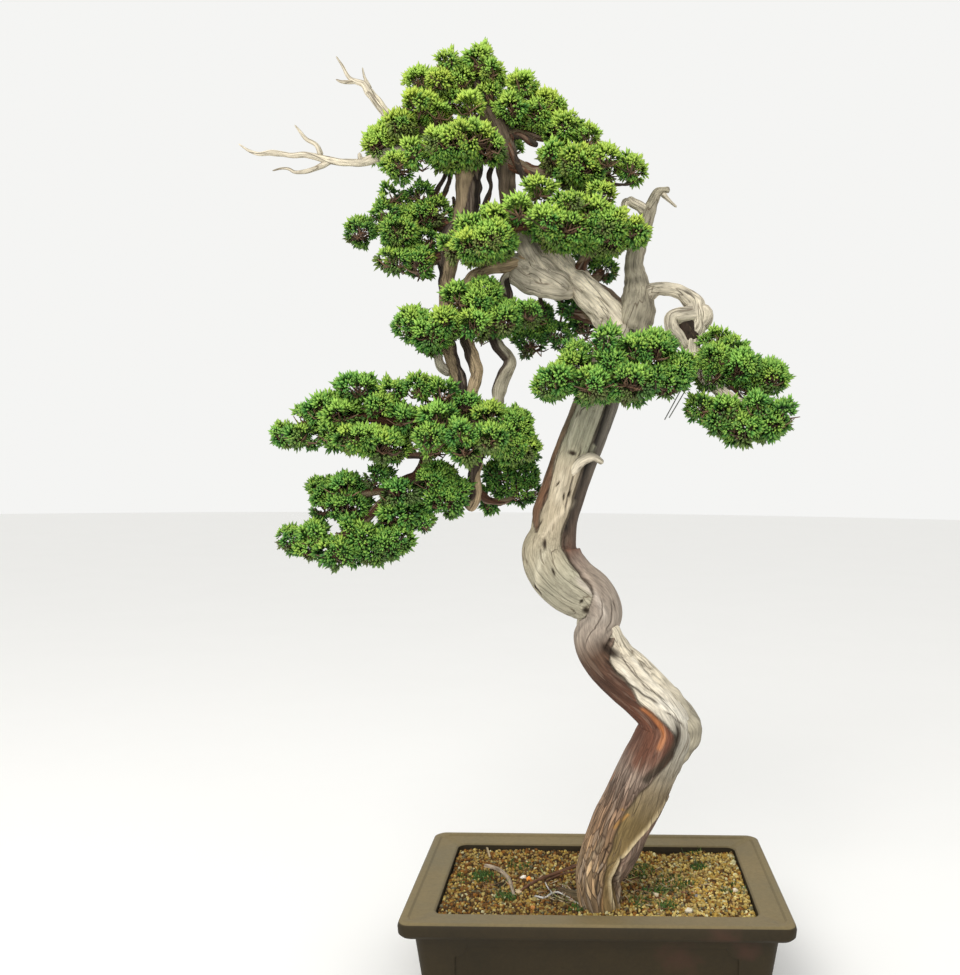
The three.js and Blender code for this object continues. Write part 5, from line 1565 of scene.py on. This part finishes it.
def make_pot():
    pot = model_pot_body()
    for gap in FOOT_GAPS:
        cut_from(pot, foot_gap(*gap))
    for x in HOLE_PLACES:
        cut_from(pot, drainage_hole(x))
    for turn in (0.0, math.pi):
        cut_from(pot, panel_cutter(LONG_PANEL, RIM_WIDTH / 2, turn))
        cut_from(pot, panel_cutter(SHORT_PANEL, RIM_LENGTH / 2, turn + math.pi / 2))
    softened = pot.modifiers.new("edges", "BEVEL")
    softened.width = EDGE_SOFTNESS * MM
    softened.segments = 2
    softened.limit_method = "ANGLE"
    softened.angle_limit = math.radians(30)
    bpy.ops.object.select_all(action="DESELECT")
    pot.select_set(True)
    bpy.context.view_layer.objects.active = pot
    bpy.ops.object.modifier_apply(modifier="edges")
    bpy.ops.object.shade_smooth_by_angle(angle=math.radians(35))
    pot.location = ORIGIN
    bpy.ops.object.transform_apply(location=True, rotation=False, scale=False)
    pot.name = "stoneware_pot"
    finish_piece(pot, STONEWARE, ["pot"])


make_pot()

# ---------- the soil ----------

SOIL_TOP = 95.0
SOIL_LENGTH = RIM_LENGTH - 2 * RIM_BORDER - 0.8
SOIL_WIDTH = RIM_WIDTH - 2 * RIM_BORDER - 0.8
SOIL_DEPTH = 9.0
BED_GRID = (120, 70)
BED_SEED = 3
GRAIN_SEED = 21
MOSS_SEED = 33
GRAIN_SPACING = 3.0
GRAIN_SIZES = (1.25, 2.3)
GRAIN_KINDS = 10
# Colour and how common it is on the left and on the right of the pot.
GRAIN_TONES = [
    ((0.66, 0.50, 0.23), 0.11, 0.30), ((0.48, 0.30, 0.085), 0.20, 0.26),
    ((0.42, 0.28, 0.13), 0.13, 0.17), ((0.30, 0.125, 0.030), 0.22, 0.08),
    ((0.12, 0.060, 0.022), 0.26, 0.09), ((0.20, 0.18, 0.14), 0.05, 0.04),
    ((0.72, 0.65, 0.50), 0.03, 0.06)]
STONE_LIFT = 2.2  # middle of a stone above the bed
STICK_LIFT = 2.6
LITTER_LIFT = 2.0
WALL_GAP = 3.0  # between moss or needles and the pot's wall
GRAIN_CAST = np.array([0.86, 0.87, 0.62])
EARTH = np.array([0.060, 0.036, 0.014])
MOSS = np.array([0.024, 0.068, 0.010])
# Pixels of the photograph where the soil is mossy, with a reach in millimetres and how
# many blades stand there.
MOSS_PATCHES = [
    ((483, 878), 13, 260), ((505, 898), 11, 150), ((578, 909), 10, 110), ((606, 909), 9, 90),
    ((698, 868), 9, 110), ((675, 885), 22, 150), ((667, 908), 9, 130), ((640, 872), 17, 190),
    ((655, 892), 15, 120), ((505, 843), 15, 90), ((690, 852), 15, 90), ((520, 868), 16, 60),
    ((735, 890), 16, 40), ((460, 880), 12, 40), ((640, 905), 13, 90), ((745, 862), 14, 40)]
# Where dry needles lie, in the same way.
LITTER = [
    ((572, 893), 25, 150), ((668, 885), 32, 120), ((650, 905), 22, 60), ((640, 880), 17, 50),
    ((555, 885), 26, 50), ((500, 888), 20, 24)]
NEEDLE_BROWNS = np.array([
    (0.26, 0.12, 0.07), (0.36, 0.22, 0.11), (0.12, 0.06, 0.03), (0.20, 0.22, 0.07),
    (0.50, 0.40, 0.26)])
# Hollows, with painted shade in them: pixel, reach and depth in millimetres.
HOLLOWS = [((628, 876), 15, 4.0), ((570, 894), 27, 6.0), ((500, 884), 10, 3.0),
           ((668, 848), 22, 5.0), ((642, 888), 20, 2.5), ((590, 880), 15, 3.0)]
# Sticks and root ends on the soil: [pixel, radius in millimetres] along each.
STICKS = [
    [(484, 868, 2.0), (497, 872, 2.1), (507, 879, 2.0), (511, 888, 1.7), (514, 897, 1.3)],
    [(482, 842, 1.6), (487, 850, 1.5), (490, 859, 1.2)],
    [(534, 897, 0.7), (544, 898, 0.9), (552, 893, 0.9), (558, 891, 1.0), (566, 892, 1.0)],
    [(566, 892, 1.0), (574, 899, 1.1), (583, 908, 1.1)],
    [(552, 893, 0.8), (547, 887, 0.6), (545, 884, 0.4)],
    [(562, 892, 0.8), (564, 887, 0.6), (562, 884, 0.4)],
    [(520, 893, 1.0), (535, 884, 1.5), (556, 876, 2.0), (578, 868, 2.2)],
    [(545, 884, 0.9), (560, 877, 1.2), (580, 873, 1.6)],
]
STICK_TONES = [(0.42, 0.33, 0.24), (0.44, 0.34, 0.20), (0.66, 0.64, 0.60), (0.60, 0.57, 0.50),
               (0.66, 0.64, 0.60), (0.60, 0.57, 0.50), (0.16, 0.075, 0.040), (0.13, 0.06, 0.03)]
# Single stones and chips: pixel, half sizes and colour.
STONES = [
    ((523, 880), (5.0, 3.4, 2.8), (0.80, 0.76, 0.66)),
    ((529, 881), (3.6, 3.2, 3.0), (0.85, 0.30, 0.04)),
    ((519, 893), (6.5, 3.5, 1.4), (0.52, 0.40, 0.24)),
    ((689, 913), (7.0, 4.0, 2.2), (0.74, 0.66, 0.50)),
    ((735, 893), (4.0, 3.6, 3.2), (0.75, 0.64, 0.48)),
    ((697, 898), (4.4, 3.4, 2.6), (0.22, 0.20, 0.18)),
    ((656, 898), (5.0, 2.6, 2.0), (0.60, 0.50, 0.34)),
    ((533, 910), (3.4, 2.6, 2.2), (0.50, 0.22, 0.06)),
]


def on_soil(pixel):
    x, y, _ = seen_at_height(*pixel[:2], SOIL_TOP)
    return x, y


def near_hollows(x, y):
    """For each hollow, its depth and how near the places are to its middle."""
    for pixel, reach, depth in HOLLOWS:
        hx, hy = on_soil(pixel)
        yield depth, np.exp(-((x - hx) ** 2 + (y - hy) ** 2) / reach ** 2)


def soil_height(x, y):
    """Gentle hills, and hollows beside the trunk."""
    height = SOIL_TOP + 0.9 * np.sin(0.071 * x + 1.0) * np.cos(0.083 * y)
    height = height + 0.6 * np.sin(0.19 * x + 0.11 * y) + 0.4 * np.cos(0.31 * y - 0.13 * x)
    for depth, near in near_hollows(x, y):
        height = height - depth * near
    return height


def soil_shade(x, y):
    """How light the soil is: painted shade, dark in the hollows and darker to the left."""
    # Painted shade: darker to the left.
    shade = 0.80 + 0.20 * np.clip((x + 60) / 160, 0, 1)
    for depth, near in near_hollows(x, y):
        shade = shade * (1 - min(0.85, 0.16 * depth) * near)
    return shade[:, None]


def make_soil_bed():
    bpy.ops.object.select_all(action="DESELECT")
    bpy.ops.mesh.primitive_grid_add(x_subdivisions=BED_GRID[0], y_subdivisions=BED_GRID[1],
                                    size=1.0)
    bed = bpy.context.object
    bed.scale = (SOIL_LENGTH * MM, SOIL_WIDTH * MM, 1.0)
    bpy.ops.object.transform_apply(location=False, rotation=False, scale=True)
    bpy.ops.object.mode_set(mode="EDIT")
    bpy.ops.mesh.select_all(action="SELECT")
    extrude_up(-SOIL_DEPTH)
    end_edit()
    points = np.empty(len(bed.data.vertices) * 3)
    bed.data.vertices.foreach_get("co", points)
    points = points.reshape(-1, 3) / MM
    top = points[:, 2] > -SOIL_DEPTH / 2
    rng = np.random.default_rng(BED_SEED)
    level = np.where(top, soil_height(points[:, 0], points[:, 1])
                     + rng.uniform(-0.8, 0.4, len(points)), SOIL_TOP - SOIL_DEPTH)
    points[:, 2] = level
    bed.data.vertices.foreach_set("co", in_metres(points).ravel())
    tint = np.ones((len(points), 4))
    tint[:, :3] = EARTH * rng.uniform(0.5, 1.5, (len(points), 1))
    tint[:, :3] *= soil_shade(points[:, 0], points[:, 1])
    colours = bed.data.attributes.new("tint", "FLOAT_COLOR", "POINT")
    colours.data.foreach_set("color", tint.ravel())
    bed.name = "soil_bed"
    bpy.context.view_layer.objects.active = bed
    bpy.ops.object.shade_smooth()
    finish_piece(bed, GRAVEL, ["soil"])


def model_grains():
    """Small broken stones, twenty faces each, about a millimetre in radius."""
    kinds = []
    for seed in range(GRAIN_KINDS):
        bpy.ops.object.select_all(action="DESELECT")
        bpy.ops.mesh.primitive_ico_sphere_add(subdivisions=1, radius=1.0)
        grain = bpy.context.object
        bpy.ops.object.mode_set(mode="EDIT")
        bpy.ops.transform.vertex_random(offset=0.34, seed=seed)
        end_edit()
        points = np.array([v.co[:] for v in grain.data.vertices])
        faces = np.array([face.vertices[:] for face in grain.data.polygons])
        bpy.data.objects.remove(grain)
        kinds.append((points, faces))
    return kinds


def scattered(kinds, kind, places, turns, sizes, tints):
    """Copies of the kinds, each turned, sized, coloured and put in its place."""
    parts = []
    for n, (points, faces) in enumerate(kinds):
        mine = kind == n
        shapes = points[None] * sizes[mine][:, None]
        shapes = np.einsum("nij,nkj->nki", turns[mine], shapes) + places[mine][:, None]
        offsets = np.arange(mine.sum())[:, None, None] * len(points)
        parts.append({
            "points": shapes.reshape(-1, 3),
            "faces": [(faces[None] + offsets).reshape(-1, 3)],
            "values": {"tint": np.repeat(tints[mine], len(points), axis=0)},
        })
    return joined(parts)


def clear_of_trunk(x, y):
    foot = np.array(TRUNK[2])
    return np.hypot(x - foot[0], y - foot[1]) > foot[3] - 2


def loose_piece(name, slot, *scatter):
    """Scattered copies as a piece of the soil."""
    points, faces, values = scattered(*scatter)
    material = FOLIAGE if slot == "foliage" else GRAVEL
    make_piece(name, points, faces, material, slot, ["soil"], smooth=False, **values)


def grain_places(rng):
    """Places on an uneven grid that fills the pot, and the size of the grain at each."""
    across = np.arange(-SOIL_LENGTH / 2 + 2, SOIL_LENGTH / 2 - 1, GRAIN_SPACING)
    along = np.arange(-SOIL_WIDTH / 2 + 2, SOIL_WIDTH / 2 - 1, GRAIN_SPACING)
    x, y = (grid.ravel() for grid in np.meshgrid(across, along))
    x = x + rng.uniform(-1.1, 1.1, len(x))
    y = y + rng.uniform(-1.1, 1.1, len(y))
    size = rng.uniform(*GRAIN_SIZES, len(x)) * np.where(rng.random(len(x)) < 0.05, 1.45, 1.0)
    limit_x, limit_y = SOIL_LENGTH / 2 - size * 1.15, SOIL_WIDTH / 2 - size * 1.15
    x, y = np.clip(x, -limit_x, limit_x), np.clip(y, -limit_y, limit_y)
    keep = clear_of_trunk(x, y)
    for pixel, reach, _ in HOLLOWS:
        hx, hy = on_soil(pixel)
        near = np.hypot(x - hx, y - hy) < 0.8 * reach
        keep &= ~near | (rng.random(len(x)) < 0.35)
    return x[keep], y[keep], size[keep]


def grain_colours(x, y, rng):
    """A tone drawn for each grain, with other shares on the left than on the right."""
    share = np.clip((x + 30) / 130 + 0.18 * np.sin(0.05 * y), 0, 1)
    left = np.cumsum([tone[1] for tone in GRAIN_TONES])
    right = np.cumsum([tone[2] for tone in GRAIN_TONES])
    draw = rng.random(len(x))
    bounds = left[None] / left[-1] + (right / right[-1] - left / left[-1])[None] * share[:, None]
    pick = np.minimum((draw[:, None] > bounds).sum(axis=1), len(GRAIN_TONES) - 1)
    tints = np.array([tone[0] for tone in GRAIN_TONES])[pick]
    return tints * GRAIN_CAST * rng.uniform(0.62, 1.25, (len(x), 1)) * soil_shade(x, y)


def make_grains():
    rng = np.random.default_rng(GRAIN_SEED)
    kinds = model_grains()
    x, y, size = grain_places(rng)
    count = len(x)
    places = np.column_stack([x, y, soil_height(x, y) + rng.uniform(0.0, 1.5, count)])
    sizes = size[:, None] * rng.uniform(0.75, 1.15, (count, 3))
    turns = turn_matrices(rng.normal(0, 1, (count, 3)), rng.uniform(0, ANY_TURN, count))
    tints = grain_colours(x, y, rng)
    kind = rng.integers(0, GRAIN_KINDS, count)
    loose_piece("soil_grains", "gravel", kinds, kind, places, turns, sizes, tints)
    count = len(STONES)
    stones = np.array([on_soil(pixel) for pixel, _, _ in STONES])
    places = np.column_stack([stones, soil_height(*stones.T) + STONE_LIFT])
    turns = turn_matrices(np.tile([0.05, 0.05, 1.0], (count, 1)), rng.uniform(-0.4, 0.4, count))
    sizes = np.array([half for _, half, _ in STONES])
    tints = np.array([tone for _, _, tone in STONES])
    kind = np.arange(count) % GRAIN_KINDS
    loose_piece("soil_stones", "gravel", kinds, kind, places, turns, sizes, tints)


def around_pixels(patches, rng):
    """Places scattered about the patches' middles."""
    places = []
    for pixel, reach, count in patches:
        x, y = on_soil(pixel)
        away = reach * np.sqrt(rng.random(count))
        turn = rng.uniform(0, 2 * np.pi, count)
        places.append(np.column_stack([x + away * np.cos(turn), y + away * np.sin(turn)]))
    places = np.concatenate(places)
    limits = [SOIL_LENGTH / 2 - WALL_GAP, SOIL_WIDTH / 2 - WALL_GAP]
    places = places[(np.abs(places) < limits).all(axis=1) & clear_of_trunk(*places.T)]
    return np.column_stack([places, soil_height(*places.T)])


def make_moss_and_litter():
    """Short blades of moss with a few tall ones, and dry needles lying about."""
    rng = np.random.default_rng(MOSS_SEED)
    blade = [model_shoot()]
    places = around_pixels(MOSS_PATCHES, rng)
    count = len(places)
    axes = rng.normal(0, 0.45, (count, 3)) + [0, 0, 1.0]
    tall = rng.random(count) < 0.12
    long = np.where(tall, rng.uniform(7, 12, count), rng.uniform(2.5, 5.5, count))
    thick = np.where(tall, 0.5, 1.0)[:, None] * rng.uniform(1.2, 2.2, (count, 2))
    tints = MOSS * rng.uniform(0.4, 2.0, (count, 1))
    tints = tints + rng.uniform(0, 0.05, (count, 1)) * [1.0, 0.9, 0.2]
    turns = turn_matrices(axes, rng.uniform(0, ANY_TURN, count))
    loose_piece("soil_moss", "foliage", blade, np.zeros(count), places, turns,
                np.column_stack([thick, long]), tints)
    places = around_pixels(LITTER, rng) + [0, 0, LITTER_LIFT]
    count = len(places)
    axes = rng.normal(0, 1, (count, 3)) * [1.0, 1.0, 0.25]
    sizes = np.column_stack([rng.uniform(0.7, 1.3, (count, 2)), rng.uniform(8, 20, count)])
    tints = NEEDLE_BROWNS[rng.integers(0, len(NEEDLE_BROWNS), count)]
    tints = tints * rng.uniform(0.7, 1.3, (count, 1))
    turns = turn_matrices(axes, rng.uniform(0, ANY_TURN, count))
    loose_piece("soil_litter", "gravel", blade, np.zeros(count), places, turns, sizes, tints)


def make_sticks():
    parts = []
    for n, (pixels, tone) in enumerate(zip(STICKS, STICK_TONES)):
        spots = [on_soil((u, v)) for u, v, _ in pixels]
        path = [(x, y, float(soil_height(x, y)) + STICK_LIFT, radius)
                for (x, y), (_, _, radius) in zip(spots, pixels)]
        parts.append(limb_skin(path, 1.5, 10, dress_limb(300 + n, np.array(tone), 0.2)))
    points, faces, values = joined(parts)
    make_piece("soil_sticks", points, faces, WOOD, "wood", ["soil"], **values)


make_soil_bed()
make_grains()
make_moss_and_litter()
make_sticks()

# ---------- the wires ----------

for node_name in ("wire_left", "wire_right"):
    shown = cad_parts[node_name]
    shown.data.materials.clear()
    shown.data.materials.append(WIRE)

# ---------- floor and light ----------


FLOOR_RADIUS = 12.0
FLOOR_DROP = 0.0005  # below the feet
FLOOR_TONE = (0.92, 0.915, 0.90, 1.0)
SKY_TONE = (0.97, 0.97, 0.955, 1.0)
SKY_LIGHT = 0.92  # strength as light
SKY_SEEN = 0.94  # strength as the background
KEY_TONE = (1.0, 0.985, 0.95)


def make_floor():
    bpy.ops.object.select_all(action="DESELECT")
    bpy.ops.mesh.primitive_circle_add(vertices=96, radius=FLOOR_RADIUS, fill_type="NGON",
                                      location=(0, 0, -FLOOR_DROP))
    floor = bpy.context.object
    floor.name = "floor"
    material, tree, shader = new_material("pale floor", 0.9, 0.2)
    link_mottled(tree, shader, FLOOR_TONE, 3.0, 0.03)
    floor.data.materials.append(material)


def add_light(name, place, aim, size, power, colour=(1.0, 1.0, 1.0)):
    data = bpy.data.lights.new(name, "AREA")
    data.shape = "DISK"
    data.size = size
    data.energy = power
    data.color = colour
    light = bpy.data.objects.new(name, data)
    light.location = place
    light.rotation_euler = (Vector(aim) - Vector(place)).to_track_quat("-Z", "Y").to_euler()
    bpy.context.scene.collection.objects.link(light)


def light_scene():
    world = bpy.data.worlds.new("studio")
    bpy.context.scene.world = world
    world.use_nodes = True
    tree = world.node_tree
    background = tree.nodes["Background"]
    seen = add_node(tree, "ShaderNodeLightPath").outputs["Is Camera Ray"]
    strength = add_node(tree, "ShaderNodeMapRange", {
        "Value": seen, "To Min": SKY_LIGHT, "To Max": SKY_SEEN}).outputs[0]
    background.inputs["Color"].default_value = SKY_TONE
    tree.links.new(strength, background.inputs["Strength"])
    add_light("key", (-0.7, -1.7, 1.9), (-0.1, 0.0, 0.6), 1.3, 28.0, KEY_TONE)
    add_light("front", (0.2, -2.1, 0.95), (-0.05, 0.0, 0.74), 1.2, 10.0)
    bpy.context.scene.view_settings.view_transform = "Standard"


make_floor()
light_scene()
